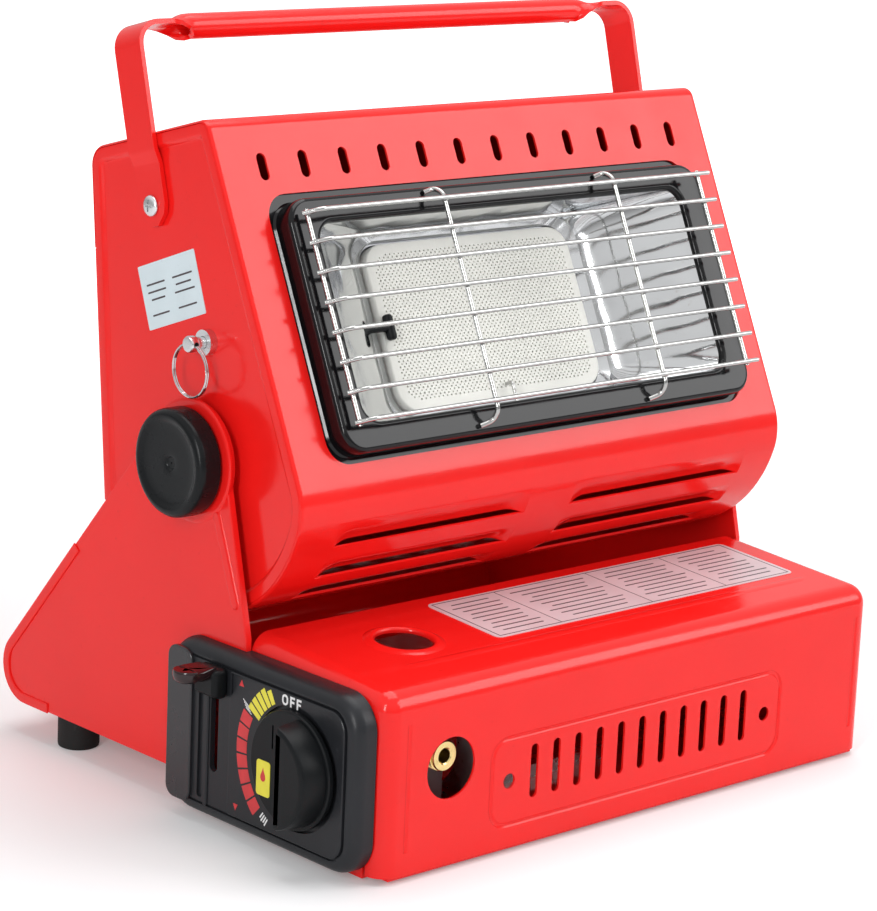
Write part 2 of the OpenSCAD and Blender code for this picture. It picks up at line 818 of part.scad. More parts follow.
// Tube from the hollow pivot bolt up to the jet
module head_gas_tube() {
    r = 1.3;
    elbow_r = 1.7;
    leg_x = quadrant_x + 7.1;
    rise = [tube_v, tube_out + face_off];
    long = norm(rise);
    lean = atan2(rise[0], rise[1]);
    color(brass) at_mid() at_pivot() rotate([90 - face_tilt, 0, 0]) {
        translate([leg_x, 0, 0]) sphere(elbow_r);
        translate([leg_x, 0, 0]) rotate([-lean, 0, 0]) cylinder(h = long, r = r);
        translate([leg_x, rise[0], rise[1]]) sphere(elbow_r);
        translate([0, rise[0], rise[1]]) x_rod(leg_x, -117.5, r);
    }
}

// Flanged bush that turns on the pivot bolt
module pivot_bush() {
    difference() {
        at_pivot() {
            x_rod(half_head - 4, half_head - recess, bush_r);
            x_rod(half_head - recess, half_head + gap, bush_r + 2);
        }
        at_pivot() x_rod(half_head - 10, half_head + 5, bolt_r + slack);
    }
}

module left_pivot_bush() {
    color(brass) at_mid() mirror([1, 0, 0]) pivot_bush();
}

module right_pivot_bush() {
    color(brass) at_mid() pivot_bush();
}

// Cross bar, straight to its free right end, with a leg behind the round left end
module cross_bar() {
    r = bar_d / 2;
    ball_r = r + 0.1;
    translate([0, 0, bar_out]) x_rod(bar_left_x, bar_right_x, r);
    translate([bar_left_x, 0, bar_out]) {
        sphere(ball_r);
        rotate([0, -180 + leg_lean, 0]) translate([0, 0, ball_r])
            cylinder(h = leg_long - ball_r, r = r);
    }
}

// Upright wire between two heights, at a distance from the face
module upright(low, high, out) {
    translate([0, low, out]) rotate([-90, 0, 0]) cylinder(h = high - low, r = wire_r);
}

// Short pin that holds an upright wire in the bezel
module wire_pin() {
    difference() {
        translate([0, 0, bezel_out - 1.2]) cylinder(h = wire_out - bezel_out + 1.2, r = pin_r);
        translate([0, -3, wire_out]) rotate([-90, 0, 0]) cylinder(h = 6, r = wire_r);
    }
}

// Welded wire guard: cross bars in front, upright wires that touch them from behind
module grille() {
    end_low = bar_top_v - (bar_count - 1) * bar_pitch - 1.5;
    end_high = bar_top_v + 1.5;
    color(steel) at_mid() on_face() {
        for (k = [0 : bar_count - 1]) translate([0, bar_top_v - k * bar_pitch, 0]) cross_bar();
        for (x = [wire_x[1], wire_x[2]]) translate([x, bezel_v, 0]) {
            upright(-pin_v - wire_r, pin_v + wire_r, wire_out);
            for (v = [-pin_v, pin_v]) translate([0, v, 0]) wire_pin();
        }
        translate([wire_x[3], 0, 0]) upright(end_low, end_high, wire_out);
        translate([wire_x[0], 0, 0]) upright(end_low, end_high, left_wire_out);
    }
}

// Bush for the lock plunger, with room for its spring
module plunger_housing() {
    color(steel) at_mid() at_pivot() translate([0, 0, plunger_up]) difference() {
        x_rod(plunger_in_x - 11.4, plunger_in_x - 3, 5);
        x_rod(plunger_in_x - 12, plunger_in_x - 2, plunger_r + slack);
        x_rod(plunger_in_x - 10.4, plunger_in_x - 4, 4.2);
    }
}

module handle_screws() {
    nut_x = half_head - recess - sheet - 3;
    head_x = half_head - recess + 0.4 + strip_t + gap;
    color(steel) at_mid() translate([0, handle_y, handle_z]) for (side = [-1, 1])
        mirror([side < 0 ? 1 : 0, 0, 0]) {
            x_rod(nut_x, head_x, screw_r);
            x_rod(head_x, head_x + 1.5, 4.2);
            translate([nut_x, 0, 0]) rotate([0, 90, 0]) cylinder(h = 3, r = 5, $fn = 6);
        }
}

module side_label() {
    color(white) at_mid() translate([-half_head + recess, pivot_y + 24.3, pivot_z + 61.8])
        rotate([-20.2, 0, 0]) translate([-0.3, 0, 0])
        across(0, 0.3) square([37.3, 25.4], center = true);
}

// ---------------------------------------------------------------- carrying handle

// One side of the handle, drawn upright round its pivot
module handle_side() {
    low_x = half_head - recess + 0.4;
    step_z = 17;
    leg_top = handle_reach + grip_r - bend_r;
    across(low_x, low_x + strip_t) {
        circle(strip_w / 2);
        translate([-strip_w / 2, 0]) square([strip_w, step_z]);
    }
    along(-strip_w / 2, strip_w / 2) polygon([[low_x, step_z], [low_x + strip_t, step_z],
        [strip_x + strip_t, step_z + 3], [strip_x, step_z + 3]]);
    across(strip_x, strip_x + strip_t) translate([-strip_w / 2, step_z + 3])
        square([strip_w, leg_top - step_z - 3]);
    along(-strip_w / 2, strip_w / 2) translate([strip_x + strip_t - bend_r, leg_top]) difference() {
        circle(bend_r);
        circle(bend_r - strip_t);
        translate([-bend_r, -bend_r]) square([bend_r, 2 * bend_r]);
        translate([-bend_r, -bend_r]) square([2 * bend_r, bend_r]);
    }
    along(-strip_w / 2, strip_w / 2) translate([grip_half - 2, leg_top + bend_r - strip_t])
        square([strip_x + strip_t - bend_r - grip_half + 2, strip_t]);
}

module carry_handle() {
    color(red) at_mid() translate([0, handle_y, handle_z]) rotate([-handle_lean, 0, 0])
        difference() {
            union() {
                handle_side();
                mirror([1, 0, 0]) handle_side();
                translate([0, 0, handle_reach]) x_rod(-grip_half, grip_half, grip_r);
            }
            translate([0, 0, handle_reach]) x_rod(-grip_half - 1, grip_half + 1, grip_r - 1.2);
            translate([-grip_half - 1, -1.5, handle_reach - 8])
                cube([2 * grip_half + 2, 3, 8]);
            x_rod(-150, 150, screw_r + slack);
        }
}

// ---------------------------------------------------------------- turning and sliding controls

// Clamp knob with a dished face, drawn on the right side
module tilt_knob() {
    r = tilt_knob_d / 2;
    edge = 2.5;
    inside = knob_near_x;
    face = knob_face_x;
    at_pivot() rotate([0, 90, 0]) rotate_extrude($fn = 96)
        polygon(concat([[bolt_r + slack, bracket_out + gap], [9, bracket_out + gap], [9, inside], [r, inside]],
            arc([r - edge, face - edge], edge, 0, 90, 5),
            [[r - 5.5, face - 0.9], [2.4, face - 1.2], [2.2, face - 2.2], [0, face - 2.2],
            [0, bolt_end_x + gap], [bolt_r + slack, bolt_end_x + gap]]));
}

module left_tilt_knob() {
    color(black) at_mid() mirror([1, 0, 0]) tilt_knob();
}

module right_tilt_knob() {
    color(black) at_mid() tilt_knob();
}

module lock_plunger() {
    color(steel) at_mid() at_pivot() translate([0, 0, plunger_up]) difference() {
        union() {
            x_rod(ring_x, plunger_in_x, plunger_r);
            x_rod(plunger_in_x - 5, plunger_in_x - 4, 4.1);
            x_rod(ring_x - 2.2, ring_x + 1.8, 3);
        }
        translate([ring_x, 0, 0]) y_rod(-10, 10, ring_wire_r + 0.5);
    }
}

// Point of a helix about X, and its neighbouring ring of the wire's surface
function helix_point(t, coil, pitch) = [pitch * t, coil * cos(360 * t), coil * sin(360 * t)];
function wire_ring(t, coil, pitch, wire, sides) = [for (k = [0 : sides - 1])
    helix_point(t, coil, pitch) + wire * (sin(360 * k / sides) * [1, 0, 0]
        + cos(360 * k / sides) * [0, cos(360 * t), sin(360 * t)])];

// Coil between the plunger's collar and the end of its housing
module plunger_spring() {
    turns = 3;
    steps = 24;
    sides = 6;
    wire = 0.2;
    coil = 3.6;
    length = 5;
    start_x = plunger_in_x - 10.2;
    rings = turns * steps;
    points = [for (i = [0 : rings]) each wire_ring(i / steps, coil, length / turns, wire, sides)];
    skin = [for (i = [0 : rings - 1], k = [0 : sides - 1]) let(n = (k + 1) % sides)
        [i * sides + k, i * sides + n, (i + 1) * sides + n, (i + 1) * sides + k]];
    first = [for (k = [0 : sides - 1]) sides - 1 - k];
    last = [for (k = [0 : sides - 1]) rings * sides + k];
    color(steel) at_mid() at_pivot() translate([start_x, 0, plunger_up])
        polyhedron(points, concat([first, last], skin));
}

module pull_ring() {
    color(steel) at_mid() at_pivot() translate([ring_x, 0, plunger_up - ring_r])
        rotate([0, 90, 0]) rotate_extrude($fn = 64) translate([ring_r, 0])
        circle(ring_wire_r, $fn = 20);
}

// Disc with a half-moon grip on its front half
module control_knob() {
    r = knob_d / 2;
    disc_x = panel_x - gap;
    disc_t = 2.8;
    grip_x = panel_x - 13.7;
    color(black) at_mid() translate([0, gas_y, gas_z]) difference() {
        union() {
            x_rod(disc_x - disc_t, disc_x, r);
            across(grip_x, disc_x - disc_t) intersection() {
                circle(r - 1.5);
                translate([-r, -r]) square([r - 4, 2 * r]);
            }
        }
        x_rod(disc_x - 2, disc_x + 1, stem_r);
    }
}

module valve_stem() {
    color(steel) at_mid() translate([0, gas_y, gas_z])
        x_rod(panel_x - gap - 2, block_x + 13, stem_r);
}

// Coloured pointer let into the knob's disc
module knob_marker() {
    face_x = panel_x - gap - 2.8;
    color(yellow) at_mid() translate([0, gas_y, gas_z]) across(face_x - 0.3, face_x)
        translate([14.5, -7]) square([8, 14], center = true);
}

// Thumb lever that slides in the panel's slot
module lock_lever() {
    foot_x = panel_x - gap;
    neck_x = foot_x - 6;
    inner_x = -half_box - 0.2;
    color(black) at_mid() translate([0, lever_y, lever_z]) {
        translate([neck_x, -8, -7]) cube([6, 14, 12]);
        translate([lever_tip_x, -6, 1]) cube([neck_x - lever_tip_x + 1, 12, 4.5]);
        translate([foot_x - 1, -2.3, -3]) cube([inner_x - foot_x + 2, 4.6, 6]);
        translate([inner_x, -5, -6]) cube([6, 10, 12]);
    }
}

// Fork that pushes the cartridge's collar against the socket
module cartridge_carriage() {
    near_x = socket_x + 5;
    low_z = floor_z + gap;
    color(steel) at_mid() difference() {
        union() {
            translate([near_x, gas_y - 28, low_z]) cube([2, 56, 58 - low_z]);
            translate([near_x, gas_y + 27, gas_z - 12]) cube([2, 15, 10]);
        }
        translate([0, gas_y, gas_z]) x_rod(near_x - 1, near_x + 3, 18);
        translate([near_x - 1, gas_y - 18, gas_z]) cube([4, 36, 40]);
    }
}

left_bracket();
right_bracket();
base_tray();
rear_panel();
control_panel();
panel_strip();
rear_feet();
front_feet();
foot_screws();
regulator();
gas_inlet();
cartridge_rails();
piezo_igniter();
feed_tube();
left_pivot_bolt();
right_pivot_bolt();
tilt_quadrant();
cartridge_lid();
lid_hinge_pins();
lid_label();
head_shell();
left_side_pan();
right_side_pan();
rear_cover();
bezel();
reflector();
burner_box();
ceramic_plaque();
plaque_rim();
igniter_electrode();
electrode_insulator();
electrode_lead();
thermocouple();
mixing_tube();
gas_jet();
head_gas_tube();
left_pivot_bush();
right_pivot_bush();
grille();
plunger_housing();
handle_screws();
side_label();
carry_handle();
left_tilt_knob();
right_tilt_knob();
lock_plunger();
plunger_spring();
pull_ring();
control_knob();
valve_stem();
knob_marker();
lock_lever();
cartridge_carriage();
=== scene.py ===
"""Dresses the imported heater: detailed pieces, materials, studio light and camera."""

from math import acos, asin, atan2, copysign, cos, degrees, hypot, pi, radians, sin, sqrt, tan

import bmesh
import bpy
from mathutils import Matrix, Vector


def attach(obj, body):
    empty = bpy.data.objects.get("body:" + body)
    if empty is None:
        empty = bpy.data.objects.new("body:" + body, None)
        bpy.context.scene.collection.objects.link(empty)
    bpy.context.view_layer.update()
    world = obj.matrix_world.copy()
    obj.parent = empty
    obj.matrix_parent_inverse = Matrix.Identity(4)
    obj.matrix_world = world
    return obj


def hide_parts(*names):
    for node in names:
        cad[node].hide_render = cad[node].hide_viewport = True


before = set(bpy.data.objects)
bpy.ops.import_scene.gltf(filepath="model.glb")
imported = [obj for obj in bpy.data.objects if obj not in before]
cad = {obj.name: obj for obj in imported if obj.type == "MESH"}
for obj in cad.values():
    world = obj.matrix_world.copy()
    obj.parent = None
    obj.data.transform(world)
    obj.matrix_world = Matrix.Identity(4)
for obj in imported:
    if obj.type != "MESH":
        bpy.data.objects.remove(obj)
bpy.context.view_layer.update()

# Millimetres from here on, with x measured from the heater's middle plane
MM = 0.001
MID_X = 7.175
FRONT_Y = -119.1
HINGE_Y = -40.6
LID_REAR_Z = 79.6
LID_LOW_Z = 3
LID_SLOPE = radians(3.9)
HALF_BOX = 136.35
HALF_HEAD = 133.55
BRACKET_OUT = 139.55
PANEL_OUT = 147.35
PIVOT_Y = -4.3
PIVOT_Z = 140.8
PLUNGER_UP = 45.6
FACE_TILT = radians(25)
FACE_OFF = 51.8
BELLY_R = 61
LOUVRES = (205, 221.4, 238)
DIAL_Y = -81.2
DIAL_Z = 38.6
HANDLE_Y = 30.8
HANDLE_Z = 234.2
HANDLE_LEAN = radians(15)
SLOT_Y = -31.6
SLOT_Z = 45
HEEL = Vector((104, 29.1))
HEEL_R = 15.06
REAR_SLOPE = 41


# ---------------------------------------------------------------- places on the heater

def mid(x, y, z):
    return Vector(((x + MID_X) * MM, y * MM, z * MM))


def face(x, v, out):
    """On the radiating face: x to the right, v up the face, out of it."""
    depth = FACE_OFF + out
    return mid(x, PIVOT_Y - depth * cos(FACE_TILT) + v * sin(FACE_TILT),
               PIVOT_Z + depth * sin(FACE_TILT) + v * cos(FACE_TILT))


def lid_top(x, y, h):
    """On the lid's sloping top: y back from its hinge edge, negative to the front."""
    return mid(x, HINGE_Y + y * cos(LID_SLOPE) - h * sin(LID_SLOPE),
               LID_REAR_Z + y * sin(LID_SLOPE) + h * cos(LID_SLOPE))


def lid_front(x, z, out):
    return mid(x, FRONT_Y - out, z)


def along_x(y, z, x):
    return mid(x, y, z)


def round_pivot(y, z, x):
    """Along x too, with y and z measured from the head's pivot."""
    return mid(x, PIVOT_Y + y, PIVOT_Z + z)


def on_side(side, x, y0=0, z0=0):
    """Places on one side, -1 for the left: y and z from (y0, z0), out from x."""
    return lambda y, z, out: mid(side * (x + out), y0 + y, z0 + z)


panel = on_side(-1, PANEL_OUT)
dial = on_side(-1, PANEL_OUT, DIAL_Y, DIAL_Z)


def handle_place(x, across, up):
    """In the handle's own upright plane, turned about its pivot."""
    return mid(x, HANDLE_Y + across * cos(HANDLE_LEAN) + up * sin(HANDLE_LEAN),
               HANDLE_Z - across * sin(HANDLE_LEAN) + up * cos(HANDLE_LEAN))


# ---------------------------------------------------------------- outlines

def flat(*pairs):
    return [Vector(p) for p in pairs]


def ray(a):
    return Vector((cos(radians(a)), sin(radians(a))))


def arc(centre, r, start, end, steps):
    return [Vector(centre) + r * ray(start + (end - start) * k / steps) for k in range(steps + 1)]


def circle(r, steps=48, cx=0, cy=0):
    return [Vector((cx, cy)) + r * ray(360 * k / steps) for k in range(steps)]


def round_rect(w, h, r, cx=0, cy=0, steps=8):
    """Rounded rectangle, with one radius or four, from the upper right corner round."""
    radii = r if isinstance(r, tuple) else (r, r, r, r)
    points = []
    for k, (sx, sy) in enumerate(((1, 1), (-1, 1), (-1, -1), (1, -1))):
        c = Vector((cx + sx * (w / 2 - radii[k]), cy + sy * (h / 2 - radii[k])))
        points += arc(c, radii[k], 90 * k, 90 * k + 90, steps)
    return points


def inset(points, d):
    """A closed outline moved inward by d, corner by corner."""
    count = len(points)
    area = sum(points[i].x * points[(i + 1) % count].y - points[(i + 1) % count].x * points[i].y
               for i in range(count))
    turn = 1 if area > 0 else -1
    moved = []
    for i, p in enumerate(points):
        before = (p - points[i - 1]).normalized()
        after = (points[(i + 1) % count] - p).normalized()
        n1 = Vector((-before.y, before.x)) * turn
        n2 = Vector((-after.y, after.x)) * turn
        n = (n1 + n2).normalized()
        moved.append(p + n * d / max(n.dot(n1), 0.3))
    return moved


def shrink(points, *levels):
    """Levels for a stack: each (d, height) is the outline moved inward by d."""
    return [(inset(points, d) if d else points, h) for d, h in levels]


def meet(a1, r1, a2, r2):
    """Where two lines cross, each given by its normal's angle and its distance."""
    a1, a2 = radians(a1), radians(a2)
    return Vector((r1 * sin(a2) - r2 * sin(a1),
                   r2 * cos(a1) - r1 * cos(a2))) / sin(a2 - a1)


def head_outline(d):
    """Side outline of the head round its pivot, moved inward by d."""
    face_a, top_a, rear_a = 155, 74.4, -5.3
    top_r, rear_r, under_r, chin_r = 127.3, 66.6, 30.8, 26
    s = sqrt((BELLY_R - chin_r) ** 2 - (FACE_OFF - chin_r) ** 2)
    chin = (FACE_OFF - chin_r) * ray(face_a) + s * ray(face_a + 90)
    chin_a = degrees(atan2(chin.y, chin.x))
    brow_r = max(5 - d, 1)
    nape_r = max(9 - d, 1)
    brow = meet(face_a, FACE_OFF - d - brow_r, top_a, top_r - d - brow_r)
    nape = meet(top_a, top_r - d - nape_r, rear_a, rear_r - d - nape_r)
    heel = meet(rear_a, rear_r - d, -90, under_r - d)
    toe_a = -degrees(asin((under_r - d) / (BELLY_R - d)))
    return (arc(brow, brow_r, face_a, top_a, 8) + arc(nape, nape_r, top_a, rear_a, 10) + [heel]
            + arc((0, 0), BELLY_R - d, toe_a, chin_a, 40)
            + arc(chin, chin_r - d, chin_a, face_a - 360, 14))


def bracket_outline():
    return (arc((PIVOT_Y, PIVOT_Z), 23.4, 196, REAR_SLOPE, 26)
            + arc(HEEL, HEEL_R, REAR_SLOPE, -90, 20)
            + flat((HINGE_Y, 14), (HINGE_Y, LID_REAR_Z - 2)))


# ---------------------------------------------------------------- mesh tools

def loft(bm, rings, loop=False):
    """Skin through rings of points that all have the same count."""
    rows = [[bm.verts.new(p) for p in ring] for ring in rings]
    pairs = list(zip(rows, rows[1:])) + ([(rows[-1], rows[0])] if loop else [])
    count = len(rows[0])
    for a, b in pairs:
        for i in range(count):
            j = (i + 1) % count
            bm.faces.new((a[i], a[j], b[j], b[i]))
    if not loop:
        bm.faces.new(rows[0])
        bm.faces.new(rows[-1])


def stack(bm, outlines, place, loop=False):
    """Loft through outlines at heights: each level is (outline, height)."""
    loft(bm, [[place(p[0], p[1], h) for p in points] for points, h in outlines], loop)


def prism(bm, points, low, high, place, edge=0):
    """Extruded outline, with its edges rounded where edge is given."""
    third = edge * 0.3
    levels = [(0, low), (0, high)]
    if edge:
        levels = [(edge, low), (third, low + third), (0, low + edge),
                  (0, high - edge), (third, high - third), (edge, high)]
    stack(bm, shrink(points, *levels), place)


def lathe(bm, profile, place, steps=64, loop=False, cx=0, cy=0):
    """Turned form: profile is a list of (radius, height)."""
    stack(bm, [(circle(r, steps, cx, cy), h) for r, h in profile], place, loop)


def box(bm, a, b):
    """Block between two corners given in millimetres."""
    outline = flat((a[1], a[2]), (b[1], a[2]), (b[1], b[2]), (a[1], b[2]))
    prism(bm, outline, a[0], b[0], along_x)


def soften(path, r, steps=6):
    """A path with its inner corners rounded."""
    points = [path[0]]
    for before, corner, after in zip(path, path[1:], path[2:]):
        reach = min(r * MM, (before - corner).length * 0.45, (after - corner).length * 0.45)
        start = corner + (before - corner).normalized() * reach
        end = corner + (after - corner).normalized() * reach
        points += [start.lerp(corner, t).lerp(corner.lerp(end, t), t)
                   for t in (k / steps for k in range(steps + 1))]
    return points + [path[-1]]


def tube(bm, path, r, sides=14, closed=False):
    """Round bar along a path, with its frame carried along without twist."""
    count = len(path)
    rings = []
    normal = None
    for i, p in enumerate(path):
        before = path[i - 1] if closed or i else p
        after = path[(i + 1) % count] if closed or i < count - 1 else p
        along = (after - before).normalized()
        if normal is None:
            normal = along.orthogonal().normalized()
        normal = (normal - along * normal.dot(along)).normalized()
        side = along.cross(normal)
        rings.append([p + (normal * cos(t) + side * sin(t)) * r * MM
                      for t in (2 * pi * k / sides for k in range(sides))])
    loft(bm, rings, loop=closed)


def link(name, bm):
    bmesh.ops.recalc_face_normals(bm, faces=bm.faces)
    mesh = bpy.data.meshes.new(name)
    bm.to_mesh(mesh)
    bm.free()
    obj = bpy.data.objects.new(name, mesh)
    bpy.context.scene.collection.objects.link(obj)
    return obj


def bake(obj):
    """Applies the modifiers to the mesh."""
    made = obj.evaluated_get(bpy.context.evaluated_depsgraph_get())
    mesh = bpy.data.meshes.new_from_object(made)
    obj.modifiers.clear()
    old = obj.data
    obj.data = mesh
    bpy.data.meshes.remove(old)


def carve(obj, cutter_bm, operation="DIFFERENCE"):
    cutter = link("cutter", cutter_bm)
    step = obj.modifiers.new("carve", "BOOLEAN")
    step.operation = operation
    step.solver = "EXACT"
    step.object = cutter
    bake(obj)
    mesh = cutter.data
    bpy.data.objects.remove(cutter)
    bpy.data.meshes.remove(mesh)


def dress(obj, body, finish, replaced=(), slot=None, bevel=0, angle=35):
    """Shading, material, body and the CAD nodes that the piece stands for."""
    if bevel:
        step = obj.modifiers.new("edges", "BEVEL")
        step.width = bevel * MM
        step.segments = 2
        step.limit_method = "ANGLE"
        step.angle_limit = radians(angle)
        step.use_clamp_overlap = True
        bake(obj)
    mesh = obj.data
    mesh.polygons.foreach_set("use_smooth", [True] * len(mesh.polygons))
    mesh.set_sharp_from_angle(angle=radians(angle + 10 if bevel else angle))
    obj.modifiers.new("normals", "WEIGHTED_NORMAL").keep_sharp = True
    mesh.materials.clear()
    mesh.materials.append(finish)
    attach(obj, body)
    if replaced:
        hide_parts(*replaced)


def piece(name, bm, *args, **options):
    dress(link(name, bm), *args, **options)


# ---------------------------------------------------------------- materials

class Nodes:
    """Short form for building a node tree."""

    def __init__(self, owner):
        owner.use_nodes = True
        self.tree = owner.node_tree
        self.tree.nodes.clear()

    def add(self, kind, feeds=None, **settings):
        """New node; each feed is a socket's value or another node's output."""
        node = self.tree.nodes.new(kind)
        for key, value in settings.items():
            setattr(node, key, value)
        for key, value in (feeds or {}).items():
            if isinstance(value, bpy.types.NodeSocket):
                self.tree.links.new(value, node.inputs[key])
            else:
                node.inputs[key].default_value = value
        return node

    def where(self, space):
        return self.add("ShaderNodeTexCoord").outputs[space]

    def noise(self, where, scale, detail=3.0, rough=0.5):
        return self.add("ShaderNodeTexNoise", {
            "Vector": where, "Scale": scale, "Detail": detail, "Roughness": rough}).outputs["Fac"]

    def spread(self, value, low_in, high_in, low, high):
        return self.add("ShaderNodeMapRange", {
            "Value": value, "From Min": low_in, "From Max": high_in,
            "To Min": low, "To Max": high}).outputs["Result"]

    def blend(self, amount, *colours):
        """Mix of two colours, whose sockets are 6 and 7; the mixed one is 2."""
        first, second = (c + (1.0,) if isinstance(c, tuple) else c for c in colours)
        return self.add("ShaderNodeMix", {"Factor": amount, 6: first, 7: second},
                        data_type="RGBA").outputs[2]

    def math(self, operation, first, second):
        return self.add("ShaderNodeMath", {0: first, 1: second}, operation=operation).outputs[0]

    def bump(self, height, distance, **more):
        return self.add("ShaderNodeBump", {"Height": height, "Strength": 1.0,
                                           "Distance": distance * MM, **more}).outputs["Normal"]

    def rays(self):
        """1 for what the camera sees directly, and 1 for what is mirrored."""
        path = self.add("ShaderNodeLightPath").outputs
        direct = self.math("MAXIMUM", path["Is Camera Ray"], path["Is Transmission Ray"])
        return direct, path["Is Glossy Ray"]


def scaled(colour, k):
    return tuple(min(1.0, c * k) for c in colour)


def finish(name, colour, rough, metallic=0.0, *, vary, patch=35, grain, depth, wave=None,
           wave_depth=0.0, specular=0.5, worn, slot=None):
    """Procedural finish: drifting colour, uneven gloss, faint scuffs and two sizes of relief."""
    material = bpy.data.materials.new(name)
    slot or name
    n = Nodes(material)
    where = n.where("Object")
    drift = n.spread(n.noise(where, patch), 0.3, 0.7, 0, 1)
    tone = n.blend(drift, scaled(colour, 1 - vary), scaled(colour, 1 + vary))
    scuff = n.spread(n.noise(where, 260, 6, 0.7), 0.62, 0.74, 0, 1)
    gloss = n.spread(n.noise(where, 70, 4), 0.3, 0.7, *rough)
    normal = n.bump(n.noise(where, grain, 2), depth)
    if wave:
        normal = n.bump(n.noise(where, wave, 1), wave_depth, Normal=normal)
    bsdf = n.add("ShaderNodeBsdfPrincipled", {
        "Base Color": n.blend(scuff, tone, worn), "Normal": normal, "Metallic": metallic,
        "Roughness": n.math("ADD", gloss, n.spread(scuff, 0, 1, 0, 0.06)),
        "Specular IOR Level": specular})
    n.add("ShaderNodeOutputMaterial", {"Surface": bsdf.outputs["BSDF"]})
    return material


def film(name, colour, rough, vary, patch, worn, slot="label_film"):
    return finish(name, colour, rough, vary=vary, patch=patch, grain=1300, depth=0.01,
                  worn=worn, slot=slot)


ENAMEL = finish("red_enamel", (0.88, 0.013, 0.011), (0.11, 0.20), vary=0.03, patch=18, grain=700,
                depth=0.006, wave=90, wave_depth=0.05, specular=0.34, worn=(0.80, 0.012, 0.010))
PANEL_PLASTIC = finish("panel_plastic", (0.017, 0.018, 0.021), (0.28, 0.40), vary=0.12, grain=1800,
                       depth=0.02, specular=0.26, worn=(0.028, 0.028, 0.032))
STRIP_PLASTIC = finish("strip_plastic", (0.020, 0.020, 0.023), (0.20, 0.30), vary=0.1, grain=900,
                       depth=0.008, worn=(0.03, 0.03, 0.033))
KNOB_PLASTIC = finish("knob_plastic", (0.007, 0.008, 0.009), (0.28, 0.40), vary=0.12, grain=1500,
                      depth=0.018, specular=0.15, worn=(0.012, 0.012, 0.013))
TILT_PLASTIC = finish("tilt_knob_plastic", (0.008, 0.009, 0.010), (0.20, 0.32), vary=0.1, grain=1500,
                      depth=0.012, specular=0.16, worn=(0.014, 0.014, 0.016))
LEVER_PLASTIC = finish("lever_plastic", (0.020, 0.008, 0.009), (0.14, 0.24), vary=0.1, grain=900,
                       depth=0.006, worn=(0.03, 0.015, 0.015))
RUBBER = finish("foot_rubber", (0.012, 0.012, 0.012), (0.6, 0.75), vary=0.15, grain=900,
                depth=0.05, specular=0.3, worn=(0.03, 0.03, 0.03))
BLACK_ENAMEL = finish("black_enamel", (0.005, 0.005, 0.006), (0.08, 0.15), vary=0.1, grain=800,
                      depth=0.006, wave=110, wave_depth=0.04, specular=0.28,
                      worn=(0.009, 0.008, 0.008))
CHROME = finish("polished_steel", (0.62, 0.63, 0.64), (0.06, 0.13), 1.0, vary=0.03, patch=28,
                grain=500, depth=0.004, wave=55, wave_depth=0.45, worn=(0.54, 0.53, 0.50))
WIRE = finish("plated_wire", (0.50, 0.50, 0.49), (0.08, 0.16), 1.0, vary=0.04, patch=90, grain=900,
              depth=0.01, worn=(0.42, 0.41, 0.39))
PLATED = finish("plated_steel", (0.72, 0.73, 0.74), (0.22, 0.34), 1.0, vary=0.06, patch=60,
                grain=1100, depth=0.02, worn=(0.55, 0.55, 0.54))
SPRING = finish("spring_steel", (0.50, 0.51, 0.53), (0.25, 0.35), 1.0, vary=0.08, grain=1500,
                depth=0.01, worn=(0.4, 0.4, 0.4))
GREY_STEEL = finish("grey_steel", (0.42, 0.43, 0.45), (0.34, 0.50), 1.0, vary=0.12, patch=50,
                    grain=900, depth=0.03, worn=(0.33, 0.32, 0.31))
CASTING = finish("die_cast", (0.50, 0.51, 0.52), (0.42, 0.58), 1.0, vary=0.1, patch=60, grain=1400,
                 depth=0.08, worn=(0.6, 0.6, 0.6))
BRASS = finish("brass", (0.86, 0.68, 0.30), (0.14, 0.26), 1.0, vary=0.08, patch=80, grain=1200,
               depth=0.01, worn=(0.6, 0.45, 0.2))
CERAMIC = finish("plaque_ceramic", (0.94, 0.935, 0.88), (0.75, 0.9), vary=0.03, patch=45, grain=1600,
                 depth=0.06, specular=0.2, worn=(0.88, 0.875, 0.82))
# Painted shade: dark discs sunk in the plaque's holes stand for the shadow inside each pore.
PORE_SHADE = finish("plaque_pore_shade", (0.10, 0.098, 0.088), (0.85, 0.95), vary=0.3, patch=300, grain=1600,
              depth=0.05, specular=0.1, worn=(0.06, 0.058, 0.052))
GLAZE = finish("white_ceramic", (0.84, 0.84, 0.82), (0.12, 0.22), vary=0.03, grain=900,
               depth=0.008, worn=(0.72, 0.71, 0.68))
SIDE_FILM = film("side_label_film", (0.66, 0.76, 0.80), (0.32, 0.42), 0.03, 60, (0.58, 0.66, 0.70))
LID_FILM = film("lid_label_film", (0.70, 0.60, 0.63), (0.30, 0.42), 0.04, 60, (0.62, 0.52, 0.55))
INK = film("dark_ink", (0.06, 0.045, 0.05), (0.4, 0.5), 0.2, 300, (0.14, 0.11, 0.12))
WHITE_INK = film("white_ink", (0.80, 0.80, 0.80), (0.35, 0.5), 0.04, 200, (0.6, 0.6, 0.6))
RED_INK = film("red_ink", (0.62, 0.030, 0.035), (0.35, 0.5), 0.08, 200, (0.45, 0.02, 0.025),
               "red_enamel")
YELLOW_INK = film("yellow_ink", (0.80, 0.72, 0.05), (0.3, 0.45), 0.05, 200, (0.66, 0.58, 0.05),
                  "marker_yellow")

